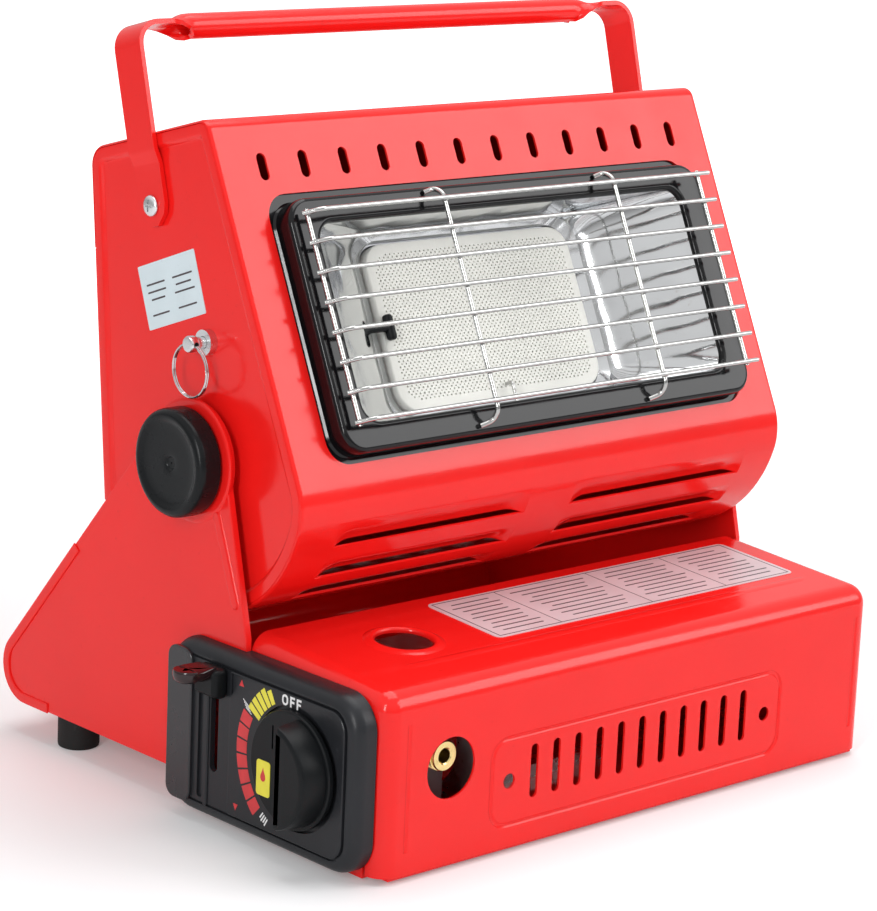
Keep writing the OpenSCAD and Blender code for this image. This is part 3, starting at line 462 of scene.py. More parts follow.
# CAD nodes that stay, with their finishes
for material, names in (
        (ENAMEL, "base_tray"), (RUBBER, "front_feet"), (CASTING, "regulator"),
        (PLATED, "foot_screws cartridge_rails left_pivot_bolt right_pivot_bolt tilt_quadrant"
                 " lid_hinge_pins plunger_housing valve_stem cartridge_carriage"),
        (KNOB_PLASTIC, "piezo_igniter electrode_lead"), (GREY_STEEL, "burner_box mixing_tube"),
        (BRASS, "feed_tube gas_jet head_gas_tube left_pivot_bush right_pivot_bush"),
        (SPRING, "plunger_spring")):
    for name in names.split():
        mesh = cad[name].data
        mesh.materials.clear()
        mesh.materials.append(material)


# ---------------------------------------------------------------- head

def build_shell():
    """Folded cabinet of the head, with its rounded end edges, window, vents and louvres."""
    seam_z = 71.2
    vent_pitch = 20.39
    ends = [(head_outline(d), x) for d, x in (
        (0, 131.9), (0.15, 132.7), (0.5, 133.3), (1.0, HALF_HEAD))]
    bm = bmesh.new()
    stack(bm, [(o, -x) for o, x in reversed(ends)] + ends, round_pivot, loop=True)
    shell = link("head_cabinet", bm)
    cut = bmesh.new()
    zone = flat((40, seam_z), (160, seam_z), (160, -80), (53, -80), (53, -29), (40, 0))
    prism(cut, zone, -150, 150, round_pivot)
    prism(cut, round_rect(230.7, 107.2, 10, 0, 35.1), -4, 4, face)
    for k in range(12):
        prism(cut, round_rect(4.6, 11, 2.29, (k - 5.5) * vent_pitch, 100, 6), -5, 4, face)
    for x1 in (-113.7, 12.7):
        for a in LOUVRES:
            sector = arc((0, 0), 66, a - 9.5, a + 0.9, 6) + arc((0, 0), 55, a + 0.9, a - 9.5, 6)
            prism(cut, sector, x1, x1 + 101, round_pivot)
    carve(shell, cut)
    dress(shell, "head", ENAMEL, ("head_shell",), angle=30)

    bm = bmesh.new()
    for side in (-1, 1):
        for a in LOUVRES:
            levels = []
            for t in (k / 32 for k in range(33)):
                sink = sin(min(1, min(t, 1 - t) / 0.10) * pi / 2)
                top, low = [], []
                for s in (i / 10 for i in range(11)):
                    along = ray(a - 9.7 + (10.8 - 1.2 * sink) * s)
                    r = BELLY_R - 0.03 - 2.8 * sink * (0.5 - 0.5 * cos(pi * s))
                    top.append(along * r)
                    low.append(along * (r - 0.8))
                levels.append((top + low[::-1], side * (12.6 + 101.2 * t)))
            stack(bm, levels, round_pivot)
    piece("head_louvres", bm, "head", ENAMEL, angle=40)

    bm = bmesh.new()
    outer, inner = head_outline(0.7), head_outline(1.7)
    stack(bm, [(outer, -133.3), (outer, 133.3), (inner, 133.3), (inner, -133.3)], round_pivot,
          loop=True)
    cover = link("rear_cover_sheet", bm)
    cut = bmesh.new()
    top = seam_z - 0.3
    zone = flat((41, top), (160, top), (160, -80), (53.4, -80), (53.4, -28), (41, 0))
    prism(cut, zone, -150, 150, round_pivot)
    carve(cover, cut, "INTERSECT")
    cut = bmesh.new()
    for x in range(-5, 6):
        for z in (-10, 20, 50):
            prism(cut, round_rect(12, 3.4, 1.69, x * 20, PIVOT_Z + z, 6), 40, 90,
                  lambda a, b, c: mid(a, c, b))
    carve(cover, cut)
    dress(cover, "head", ENAMEL, ("rear_cover",), angle=30)


def build_side_pan(side, name):
    """Stamped end of the head: a round-edged rim band and a recessed panel."""
    place = on_side(side, HALF_HEAD, PIVOT_Y, PIVOT_Z)
    bm = bmesh.new()
    stack(bm, [(head_outline(d), out) for d, out in (
        (8.6, -2.5), (2.05, -2.5), (2.05, -10), (1.05, -10), (1.05, -0.6), (1.35, -0.15),
        (2.0, 0), (5.0, 0), (5.6, -0.15), (6.3, -0.75), (6.9, -1.35), (7.6, -1.5))], place)
    pan = link(name, bm)
    cut = bmesh.new()
    prism(cut, circle(9, 40), -14, 2, place)
    prism(cut, circle(2.5, 24, HANDLE_Y - PIVOT_Y, HANDLE_Z - PIVOT_Z), -14, 2, place)
    if side < 0:
        prism(cut, circle(5, 32, 0, PLUNGER_UP), -14, 2, place)
    carve(pan, cut)
    dress(pan, "head", ENAMEL, (name.replace("_sheet", ""),), angle=30)


def build_face():
    """Bezel, reflector, plaque with its rim, electrode and probe."""
    def level(w, h, r, v, out):
        return [face(p.x, p.y, out) for p in round_rect(w, h, r, 0, v, 10)]

    bm = bmesh.new()
    loft(bm, [level(*k) for k in (
        (236, 112.6, 12, 35.1, -2.2), (236, 112.6, 12, 35.1, -1.1), (227.6, 102.3, 10.8, 34.2, -1.1),
        (226, 100.7, 10, 34.2, -0.2), (226, 100.7, 10, 34.2, 6.6), (225.5, 100.2, 9.8, 34.2, 7.8),
        (224.2, 98.9, 9.2, 34.2, 8.7), (222, 96.7, 8.2, 34.2, 9), (204.6, 82.5, 9.5, 34.5, 9),
        (202, 80.6, 8.6, 34.5, 8.7), (200.4, 79.4, 8.2, 34.5, 7.9), (200, 79, 8, 34.5, 6.6),
        (202.4, 81.4, 9, 34.5, 6.6), (203.4, 82.4, 9, 34.5, 7.8), (221.6, 96.3, 8, 34.2, 7.8),
        (223.6, 98.3, 8.8, 34.2, 6.4), (223.6, 98.3, 8.8, 34.2, -2.2))], loop=True)
    piece("bezel_frame", bm, "head", BLACK_ENAMEL, ("bezel",), "black_enamel", angle=40)

    bm = bmesh.new()
    funnel = [(125.2 + 74.8 * (1 - t) ** 1.4, 79 - 2 * t, 8 + 3 * t, 34.5 + 0.7 * t, 6.4 - 27.4 * t)
              for t in (0, 0.1, 0.2, 0.3, 0.45, 0.6, 0.75, 0.9, 1)]
    shape = [(213, 90, 10, 34.5, 7.7), (203, 81.5, 9, 34.5, 7.6)] + funnel
    shape += [(115, 71.6, 10.4, 35.2, -22.6), (115, 71.6, 10.4, 35.2, -23.3), (127, 78.8, 11, 35.2, -21.8)]
    shape += [(w + 1.8, h + 1.8, r + 0.8, v, out - 0.7) for w, h, r, v, out in reversed(funnel[:-1])]
    shape += [(213, 90, 10, 34.5, 6.9)]
    loft(bm, [level(*k) for k in shape], loop=True)
    piece("reflector_pan", bm, "head", CHROME, ("reflector",), "polished_steel", angle=25)

    bm = bmesh.new()
    loft(bm, [level(*k) for k in (
        (119.2, 75, 11, 35.2, -34), (119.2, 75, 11, 35.2, -25), (118.6, 74.4, 10.8, 35.2, -24.4),
        (117.4, 73.2, 10.4, 35.2, -24.2), (114, 70.2, 10.2, 35.2, -24.2), (113, 69.4, 10.1, 35.2, -24.6),
        (112.7, 69.1, 10, 35.2, -33), (104.5, 61, 8, 35.2, -33), (104.5, 61, 8, 35.2, -34))], loop=True)
    piece("plaque_frame", bm, "head", GREY_STEEL, ("plaque_rim",), "grey_steel", angle=30)
    build_plaque()

    bm = bmesh.new()
    electrode = [face(1, v, o) for v, o in ((-24, -15.5), (5, -15.5), (6.2, -16.2), (6.2, -19.2))]
    tube(bm, soften(electrode, 1.2), 0.8, 12)
    piece("electrode_wire", bm, "head", WIRE, ("igniter_electrode",), "plated_steel")
    bm = bmesh.new()
    stack(bm, [(circle(r, 32, 1, -15.5), h) for r, h in (
        (1.9, -20), (2.5, -19.4), (2.5, -8), (2.9, -7.4), (2.9, -6.2), (2.3, -5.4), (2.1, -3.6), (1.5, -3))],
        lambda x, o, v: face(x, v, o))
    piece("electrode_glaze", bm, "head", GLAZE, ("electrode_insulator",), "white_ceramic")
    bm = bmesh.new()
    tube(bm, [face(x, 35.2, -17.4) for x in (-84, -70, -54.5)], 1.6, 20)
    stack(bm, [(circle(r, 28, -54.5, -17.4), h) for r, h in (
        (1.2, 30), (1.9, 30.5), (2.1, 31.4), (2.1, 39), (1.9, 39.9), (1.2, 40.4))],
        lambda x, o, v: face(x, v, o))
    piece("flame_probe", bm, "head", KNOB_PLASTIC, ("thermocouple",), "black_enamel")


def build_plaque():
    """Ceramic tile with staggered rows of drilled pore holes inside a plain border; a dark disc sunk in each
    hole is painted shade.
    """
    w, h, v0, out = 112.5, 69, 35.2, -20
    border, pitch = 3.6, 1.15
    cols = int((w - 2 * border) / pitch)
    rows = int((h - 2 * border) / pitch)
    field_w, field_h = cols * pitch, rows * pitch
    bm = bmesh.new()
    inner_r = 7.0
    grid = {}

    def at(x, y, z=0.0):
        return face(x, v0 + y, out + z)

    def outside(i, j):
        """True where a cell lies beyond the field's round corners."""
        x = abs((i + 0.5) * pitch - field_w / 2) - (field_w / 2 - inner_r)
        y = abs((j + 0.5) * pitch - field_h / 2) - (field_h / 2 - inner_r)
        return x > 0 and y > 0 and hypot(x, y) > inner_r - 0.4

    def corner(i, j):
        if (i, j) not in grid:
            grid[i, j] = bm.verts.new(at(i * pitch - field_w / 2, j * pitch - field_h / 2))
        return grid[i, j]

    # Painted shade: a dark disc just above each hole's floor, for the shadow inside the pore.
    pore_shade = bmesh.new()
    for i in range(cols):
        for j in range(rows):
            quad = [corner(i, j), corner(i + 1, j), corner(i + 1, j + 1), corner(i, j + 1)]
            if (i + j) % 2 or outside(i, j):
                bm.faces.new(quad)
                continue
            cx = (i + 0.5) * pitch - field_w / 2
            cy = (j + 0.5) * pitch - field_h / 2
            size = 0.44 + 0.07 * sin(i * 12.9 + j * 78.2)
            ring = [ray(225 + 45 * k) * size + Vector((cx, cy)) for k in range(8)]
            top = [bm.verts.new(at(p.x, p.y)) for p in ring]
            deep = [bm.verts.new(at(p.x, p.y, -1.2)) for p in ring]
            for k in range(8):
                n = (k + 1) % 8
                bm.faces.new((top[k], top[n], deep[n], deep[k]))
                side = k // 2
                if k % 2 == 0:
                    bm.faces.new((quad[side], top[n], top[k]))
                else:
                    bm.faces.new((quad[side], quad[(side + 1) % 4], top[n], top[k]))
            bm.faces.new(deep)
            stack(pore_shade, [([Vector((cx, cy)) + (p - Vector((cx, cy))) * 0.97 for p in ring], z)
                          for z in (-1.1, -0.9)], lambda x, y, z: at(x, y, z))
    rim = [(i, 0) for i in range(cols)] + [(cols, j) for j in range(rows)]
    rim += [(i, rows) for i in range(cols, 0, -1)] + [(0, j) for j in range(rows, 0, -1)]
    before = [grid[cell] for cell in rim]
    for w2, h2, r2, z2 in ((w - 1.2, h - 1.2, 9.4, 0), (w - 0.3, h - 0.3, 9.9, -0.35),
                           (w, h, 10, -1.0), (w, h, 10, -13)):
        verts = [bm.verts.new(at(*project(2 * i / cols - 1, 2 * j / rows - 1, w2, h2, r2), z2))
                 for i, j in rim]
        for k in range(len(verts)):
            n = (k + 1) % len(verts)
            bm.faces.new((before[k], before[n], verts[n], verts[k]))
        before = verts
    bm.faces.new(before)
    piece("plaque_tile", bm, "head", CERAMIC, ("ceramic_plaque",), "plaque_ceramic", angle=40)
    # The dark pore discs are painted shade, not the ceramic's own colour.
    piece("plaque_pore_shade", pore_shade, "head", PORE_SHADE, slot="plaque_ceramic", angle=40)


def project(x, y, w, h, r):
    """A point of the edge of a square from -1 to 1, moved onto a rounded rectangle's edge."""
    px, py = x * w / 2, y * h / 2
    cx, cy = w / 2 - r, h / 2 - r
    dx, dy = abs(px) - cx, abs(py) - cy
    if dx <= 0 or dy <= 0:
        return px, py
    k = r / hypot(dx, dy)
    return copysign(cx + dx * k, px), copysign(cy + dy * k, py)


def build_grille():
    """Cross bars with bent left ends, four upright wires and the welds between them."""
    bars, uprights, welds = bmesh.new(), bmesh.new(), bmesh.new()
    for k in range(8):
        v = 77.2 - 11.75 * k
        path = [face(-109.6, v, 12.9), face(-104.5, v, 18), face(-100, v, 18), face(110, v, 18)]
        tube(bars, soften(path, 2.5), 0.92, 16)
        for x, out in ((-39.5, 17), (55, 17), (105, 17), (-107.5, 14)):
            stack(welds, [(circle(r, 10, x, v), out + h) for r, h in (
                (0.4, -1.1), (1.0, -0.8), (1.25, 0), (1.0, 0.8), (0.4, 1.1))], face)
    for x in (-39.5, 55):
        path = [face(x - 3.8, 82.0, 9.6), face(x - 0.8, 82.6, 12.5), face(x, 79.5, 16),
                face(x, -8.8, 16), face(x - 0.6, -12.2, 12.2), face(x - 5.8, -13.2, 9.8)]
        tube(uprights, soften(path, 3), 1.0, 14)
    for x, out in ((-107.15, 12.5), (105, 16)):
        tube(uprights, [face(x, v, out) for v in (-6.5, 20, 50, 78.7)], 1.0, 14)
    piece("grille_bars", bars, "head", WIRE, ("grille",), "plated_steel")
    piece("grille_uprights", uprights, "head", WIRE, slot="plated_steel")
    piece("grille_welds", welds, "head", WIRE, slot="plated_steel")


def build_head_fittings():
    for side, name in ((-1, "left"), (1, "right")):
        place = on_side(side, HALF_HEAD, HANDLE_Y, HANDLE_Z)
        bm = bmesh.new()
        lathe(bm, ((2.5, -5.5), (2.5, 1.25), (4.2, 1.25), (4.2, 1.7), (3.8, 2.3), (2.8, 2.75),
                   (1.2, 2.95)), place, 40)
        lathe(bm, ((4.8, -5.5), (5.2, -5), (5.2, -3), (4.8, -2.6)), place, 6)
        screw = link("handle_screw_" + name, bm)
        cut = bmesh.new()
        prism(cut, [Vector(p) for p in (
            (-2.3, -0.45), (-0.45, -0.45), (-0.45, -2.3), (0.45, -2.3), (0.45, -0.45), (2.3, -0.45),
            (2.3, 0.45), (0.45, 0.45), (0.45, 2.3), (-0.45, 2.3), (-0.45, 0.45), (-2.3, 0.45))],
            1.9, 4, place)
        carve(screw, cut)
        dress(screw, "head", PLATED, ("handle_screws",), "plated_steel")

    turn = radians(-20.2)

    def label(y, z, out):
        return mid(-HALF_HEAD + 1.5 - out, PIVOT_Y + 24.3 + y * cos(turn) - z * sin(turn),
                   PIVOT_Z + 61.8 + y * sin(turn) + z * cos(turn))
    bm = bmesh.new()
    prism(bm, round_rect(37.3, 25.4, 0.6, steps=4), 0, 0.3, label, 0.08)
    piece("side_label_film", bm, "head", SIDE_FILM, ("side_label",), "label_film")
    bm = bmesh.new()
    for y, z, w in ((-9, 4.5, 12), (-9, 1.5, 12), (-9, -1.5, 9), (8.5, 4.5, 13), (8.5, 1.5, 10),
                    (8.5, -1.5, 13), (-9, -7.6, 11), (8.5, -7.6, 12)):
        prism(bm, round_rect(w, 0.7, 0.3, -y, z, 3), 0.3, 0.34, label)
    piece("side_label_lines", bm, "head", INK)


def build_plunger():
    """Knurled pull boss and split ring of the tilt stop."""
    place = on_side(-1, 141, PIVOT_Y, PIVOT_Z + PLUNGER_UP)
    bm = bmesh.new()
    lathe(bm, ((2.4, -17), (2.4, -2), (3, -1.8), (3.3, -1.2), (3.3, 1.2), (2.9, 1.9), (1.8, 2.2)),
          place, 36)
    lathe(bm, ((4.0, -13.4), (4.1, -13.2), (4.1, -12.6), (4.0, -12.4)), place, 32)
    boss = link("plunger_boss", bm)
    cut = bmesh.new()
    prism(cut, circle(1.2, 20), -12, 12, lambda x, z, y: place(y, z, x))
    carve(boss, cut)
    dress(boss, "plunger", PLATED, ("lock_plunger",), "plated_steel")
    bm = bmesh.new()
    for shift in (-0.42, 0.42):
        path = [place(10.35 * sin(t), -10.3 + 10.35 * cos(t), shift)
                for t in (2 * pi * k / 72 for k in range(72))]
        tube(bm, path, 0.46, 10, closed=True)
    piece("split_ring", bm, "ring", CHROME, ("pull_ring",), "plated_steel")


# ---------------------------------------------------------------- handle

def build_handle():
    """Flat straps that bend inward and roll up into the grip."""
    low_x, strap_x = 132.45 + 1, 134.95
    reach, roll_r = 69, 4.1
    top = reach + 1.2
    path = [(low_x, -8.2, 0), (low_x, -4, 0), (low_x, 0, 0), (low_x, 8, 0), (low_x, 15.6, 0),
            (low_x + 0.3, 17, 0), (strap_x - 0.4, 20, 0), (strap_x, 21.6, 0), (strap_x, 40, 0)]
    path += [(strap_x - 9 + 9 * cos(t), top - 9 + 9 * sin(t), 0)
             for t in (pi / 2 * k / 10 for k in range(11))]
    path += [(118, top, 0), (114.5, top + 0.2, 0.12), (112, top + 1, 0.4), (110, top + 2, 0.72),
             (107.5, top + 2.6, 0.93), (104, reach + 4, 1), (60, reach + 4, 1)]
    sections = []
    for side in (1, -1):
        chain = []
        for i, (x, up, curl) in enumerate(path):
            x1, u1 = path[max(i - 1, 0)][:2]
            x2, u2 = path[min(i + 1, len(path) - 1)][:2]
            length = hypot(x2 - x1, u2 - u1)
            normal = ((u2 - u1) / length, -(x2 - x1) / length)
            half = 8.25
            if i == 0:
                half = 2.2
            if i == 1:
                half = 6.9
            half += (12.4 - half) * curl
            outer, inner = [], []
            for k in range(17):
                s = -half + 2 * half * k / 16
                bend = curl / roll_r
                for d, line in ((1, outer), (-1, inner)):
                    across = s if not curl else sin(s * bend) * (1 / bend + d)
                    drop = 0 if not curl else (1 - cos(s * bend)) * (1 / bend + d)
                    off = d - drop
                    line.append(handle_place(side * (x + normal[0] * off), across, up + normal[1] * off))
            chain.append(outer + inner[::-1])
        sections.append(chain)
    bm = bmesh.new()
    loft(bm, sections[0] + sections[1][::-1])
    handle = link("handle_strap", bm)
    cut = bmesh.new()
    prism(cut, circle(2.55, 28), -150, 150, lambda a, u, x: handle_place(x, a, u))
    carve(handle, cut)
    dress(handle, "handle", ENAMEL, ("carry_handle",), "red_enamel", bevel=0.3, angle=38)


# ---------------------------------------------------------------- stand

def build_bracket(side, name):
    """Side bracket with its bores, and its raised rib and ring as a second piece."""
    place = on_side(side, BRACKET_OUT)
    bm = bmesh.new()
    stack(bm, shrink(bracket_outline(), (1.2, -1.2), (1.2, -2.8), (0, -2.8), (0, -0.9),
                     (0.3, -0.3), (1.0, 0)), place)
    bracket = link(name, bm)
    cut = bmesh.new()
    prism(cut, circle(5, 32, PIVOT_Y, PIVOT_Z), -5, 4, place)
    if side < 0:
        prism(cut, round_rect(7, 43, 3.49, SLOT_Y, SLOT_Z), -5, 4, place)
    carve(bracket, cut)
    dress(bracket, "stand", ENAMEL, (name.replace("_sheet", ""),), angle=30)

    bm = bmesh.new()
    low, high = Vector((-33.4, 90)), Vector((-21.0, 122))
    lean = degrees(atan2(high.y - low.y, high.x - low.x))
    rib = arc(low, 2.4, lean + 90, lean + 270, 8) + arc(high, 2.4, lean - 90, lean + 90, 8)
    stack(bm, shrink(rib, (0, -0.6), (0, 0.0), (0.5, 0.45), (1.1, 0.68)), place)
    lathe(bm, ((24.6, -0.6), (24.6, 0.1), (24.0, 0.5), (23.0, 0.7), (12, 0.7), (12, -0.6)),
          on_side(side, BRACKET_OUT, PIVOT_Y, PIVOT_Z), 72, loop=True)
    piece(name.replace("sheet", "ribs"), bm, "stand", ENAMEL, angle=40)


def build_rear():
    """Sloping rear sheet with a lip folded over each bracket's rear corner, and the feet."""
    low = HEEL + HEEL_R * ray(REAR_SLOPE)
    high = low + (88 - low.y) / cos(radians(REAR_SLOPE)) * ray(REAR_SLOPE + 90)
    bend = arc(HEEL, HEEL_R, REAR_SLOPE, -90, 20)
    outer = [high] + bend + flat((-42.55, 14.04))
    inner = flat((-42.55, 15)) + arc(HEEL, 14.1, -90, REAR_SLOPE, 20) + [high - ray(REAR_SLOPE)]
    bm = bmesh.new()
    prism(bm, outer + inner, -138.3, 138.3, along_x)
    lip_end = high + 4 * ray(REAR_SLOPE + 90)
    lip = [lip_end] + bend + flat((87, 14.04), (87, 18.2))
    lip += arc(HEEL, 10.9, -90, REAR_SLOPE, 20) + [lip_end - 4.2 * ray(REAR_SLOPE)]
    for side in (-1, 1):
        stack(bm, shrink(lip, (0, 0.02), (0, 0.5), (0.3, 0.75), (0.7, 0.85)),
              on_side(side, BRACKET_OUT))
    piece("rear_sheet", bm, "stand", ENAMEL, ("rear_panel",), angle=30)

    bm = bmesh.new()
    for x in (-128.5, 128.5):
        lathe(bm, ((7.6, 0), (8.5, 0.5), (8.7, 1.4), (8.7, 13.2), (8.4, 14), (2.05, 14),
                   (2.05, 5), (7.0, 0.6)), lambda a, b, z: mid(x + a, 80.5 + b, z), 48)
    piece("rear_bumpers", bm, "stand", RUBBER, ("rear_feet",), "foot_rubber")


def build_inlet():
    """Threaded brass inlet with its hexagon."""
    def place(a, b, out):
        return mid(-101.6 + a, -100.2 - out, 44 + b)
    bm = bmesh.new()
    thread = []
    for k in range(12):
        rise = 3.2 + 0.8 * k
        thread += [(6.2, rise), (6.2, rise + 0.25), (5.75, rise + 0.4), (5.75, rise + 0.65)]
    profile = [(2.6, 0), (5.6, 0), (5.6, 3)] + thread
    profile += [(6.0, 13.3), (5.6, 13.8), (3.4, 13.8), (2.9, 13.4)]
    lathe(bm, profile, place, 48, loop=True)
    lathe(bm, ((3, 0), (6.6, 0), (7.2, 0.5), (7.2, 2.5), (6.6, 3), (3, 3)), place, 6, loop=True)
    piece("inlet_fitting", bm, "stand", BRASS, ("gas_inlet",), "brass", angle=28)


# ---------------------------------------------------------------- cartridge lid

def wedge(bm, grow, r, rear, low):
    """Block of the lid's shape with a sloping top and its outer edges rounded."""
    x, front = HALF_BOX - grow, FRONT_Y + grow
    drop = grow / cos(LID_SLOPE)
    top_rear = LID_REAR_Z + (rear - HINGE_Y) * tan(LID_SLOPE) - drop
    top_front = LID_REAR_Z - (HINGE_Y - front) * tan(LID_SLOPE) - drop
    corners = [mid(sx * x, y, z) for sx in (-1, 1) for y, z in (
        (rear, low), (front, low), (front, top_front), (rear, top_rear))]
    verts = [bm.verts.new(p) for p in corners]
    for ring in ((0, 1, 2, 3), (4, 5, 6, 7), (0, 1, 5, 4), (1, 2, 6, 5), (2, 3, 7, 6), (3, 0, 4, 7)):
        bm.faces.new([verts[i] for i in ring])
    pairs = ((2, 6), (2, 3), (6, 7), (1, 2), (5, 6))
    edges = [e for e in bm.edges if any({verts[a], verts[b]} == set(e.verts) for a, b in pairs)]
    bmesh.ops.recalc_face_normals(bm, faces=bm.faces)
    bmesh.ops.bevel(bm, geom=edges, offset=r * MM, segments=8, profile=0.5, affect="EDGES")


def build_lid():
    bm = bmesh.new()
    wedge(bm, 0, 8, HINGE_Y, LID_LOW_Z)
    lid = link("lid_sheet", bm)
    cut = bmesh.new()
    wedge(cut, 1, 7, HINGE_Y + 20, LID_LOW_Z - 10)
    carve(lid, cut)
    cut = bmesh.new()
    box(cut, (-140, FRONT_Y + 9, 0), (-133, HINGE_Y + 5, 64))
    for k in range(11):
        prism(cut, round_rect(4, 21.7, 1.99, (k - 5) * 11.83, 31.4, 6), -5, 2, lid_front)
    for x in (-72.3, 72.3):
        prism(cut, circle(3, 24, x, 29.7), -5, 2, lid_front)
    prism(cut, circle(12.1, 48, -102.9, 41.1), -5, 2, lid_front)
    prism(cut, circle(11.6, 48, -89, -34.2), -5, 3, lid_top)
    groove = [lid_front(p.x, p.y, 0.75) for p in round_rect(163, 35, 8, 0, 29.5, 8)]
    tube(cut, groove, 1.35, 12, closed=True)
    for x, z1, z2 in ((-124.5, 12, 62), (127, 14, 62)):
        tube(cut, [lid_front(x, z, 0.75) for z in (z1, z2)], 1.3, 12)
    carve(lid, cut)
    dress(lid, "lid", ENAMEL, ("cartridge_lid",), angle=30)

    bm = bmesh.new()
    lathe(bm, ((16.2, -0.5), (16.2, 0.02), (15.2, 0.45), (14.0, 0.95), (13.0, 1.05), (12.2, 0.8),
               (11.7, 0.1), (11.7, -0.9)), lambda x, y, h: lid_top(-89 + x, -34.2 + y, h), 64, loop=True)
    rings = []
    for k in range(33):
        t = k / 32
        swell = min(1, min(t, 1 - t) / 0.03)
        x = -112 + 232 * t
        rings.append([lid_top(x, -57 + 3.2 * s, 0.05 + 0.55 * swell * cos(s * pi / 2) - 0.25)
                      for s in (-1, -0.7, -0.35, 0, 0.35, 0.7, 1)] + [lid_top(x, -57, -0.6)])
    loft(bm, rings)
    piece("lid_ribs", bm, "lid", ENAMEL, angle=40)
    bm = bmesh.new()
    for x in (-132, 131):
        lug = arc((-44, 74.6), 2.6, 180, 360, 12) + flat((-41.4, 78), (-46.6, 78))
        prism(bm, lug, x, x + 1, along_x)
    piece("lid_lugs", bm, "lid", ENAMEL)

    bm = bmesh.new()
    prism(bm, round_rect(172.5, 43, 3, 32.3, -28.6), 0, 0.3, lid_top, 0.08)
    piece("lid_label_film", bm, "lid", LID_FILM, ("lid_label",), "label_film")
    bm = bmesh.new()
    frame_lines = [(32.3, -8.6, 168.5, 0.5), (32.3, -48.6, 168.5, 0.5), (-51.7, -28.6, 0.5, 40),
                   (116.3, -28.6, 0.5, 40), (-18, -28.6, 0.4, 40), (34, -28.6, 0.4, 40), (78, -28.6, 0.4, 40)]
    for c, width in ((-35, 26), (8, 42), (56, 36), (97, 30)):
        for k in range(9):
            short = 0.62 + 0.38 * abs(sin(c + k * 2.1))
            frame_lines.append((c, -13 - 3.9 * k, width * short, 0.8))
    for x, y, w, h in frame_lines:
        prism(bm, round_rect(w, h, min(w, h) * 0.45, x, y, 2), 0.3, 0.34, lid_top)
    piece("lid_label_lines", bm, "lid", INK)


# ---------------------------------------------------------------- controls

def build_panel():
    cy, cz, w, h = -57.95, 38, 113.3, 70

    def ring(d, out):
        return (round_rect(w - 2 * d, h - 2 * d, 14 - d, cy, cz, 10), out)
    bm = bmesh.new()
    stack(bm, [ring(2.2, -3.2), ring(2.2, -10.65), ring(0, -10.65), ring(0, -6.2), ring(0.35, -4.6),
               ring(1.2, -2.9), ring(2.6, -1.6), ring(4.6, -0.9), ring(5.3, -0.9), ring(5.5, -1.8),
               ring(6.1, -1.8), ring(6.4, -0.9)], panel)
    shell = link("panel_shell", bm)
    cut = bmesh.new()
    box(cut, (-139.6, HINGE_Y - 0.6, -5), (-119, 60, 100))
    prism(cut, round_rect(4.6, 43, 2.25, -31.6, 45), -14, 2, panel)
    prism(cut, round_rect(3.2, 50, 1.2, -23.2, 36), -1.9, 2, panel)
    prism(cut, circle(24.4, 64, DIAL_Y, DIAL_Z), -2.1, 2, panel)
    carve(shell, cut)
    dress(shell, "stand", PANEL_PLASTIC, ("control_panel",), "panel_plastic", angle=32)

    bm = bmesh.new()
    plate = round_rect(67.2, 57.2, (1.2, 7.6, 7.6, 1.2), -74.8, 38, 8)
    stack(bm, [(plate, -1.4), (plate, -0.35), (inset(plate, 0.3), -0.08), (inset(plate, 0.8), 0)], panel)
    dial_plate = link("dial_plate", bm)
    cut = bmesh.new()
    prism(cut, circle(24.4, 64, DIAL_Y, DIAL_Z), -2.6, 2, panel)
    tri = [Vector(p) for p in ((-42.5, 66.2), (-49.5, 66.2), (-42.5, 57.5))]
    prism(cut, tri, -0.7, 2, panel)
    carve(dial_plate, cut)
    dress(dial_plate, "stand", PANEL_PLASTIC, angle=32)

    bm = bmesh.new()
    strip = round_rect(15, 62, 5, -10.8, 38, 8)
    stack(bm, [(strip, -1.2), (strip, 0.1), (inset(strip, 0.25), 0.38), (inset(strip, 0.7), 0.5)], panel)
    piece("panel_inset", bm, "stand", STRIP_PLASTIC, ("panel_strip",), "strip_plastic", angle=32)
    bm = bmesh.new()
    rib = round_rect(2.6, 46, 1.2, -27.1, 31.5, 4)
    stack(bm, [(rib, -1.2), (rib, -0.5), (inset(rib, 0.5), -0.1)], panel)
    piece("slot_rib", bm, "stand", PANEL_PLASTIC)
    build_prints()


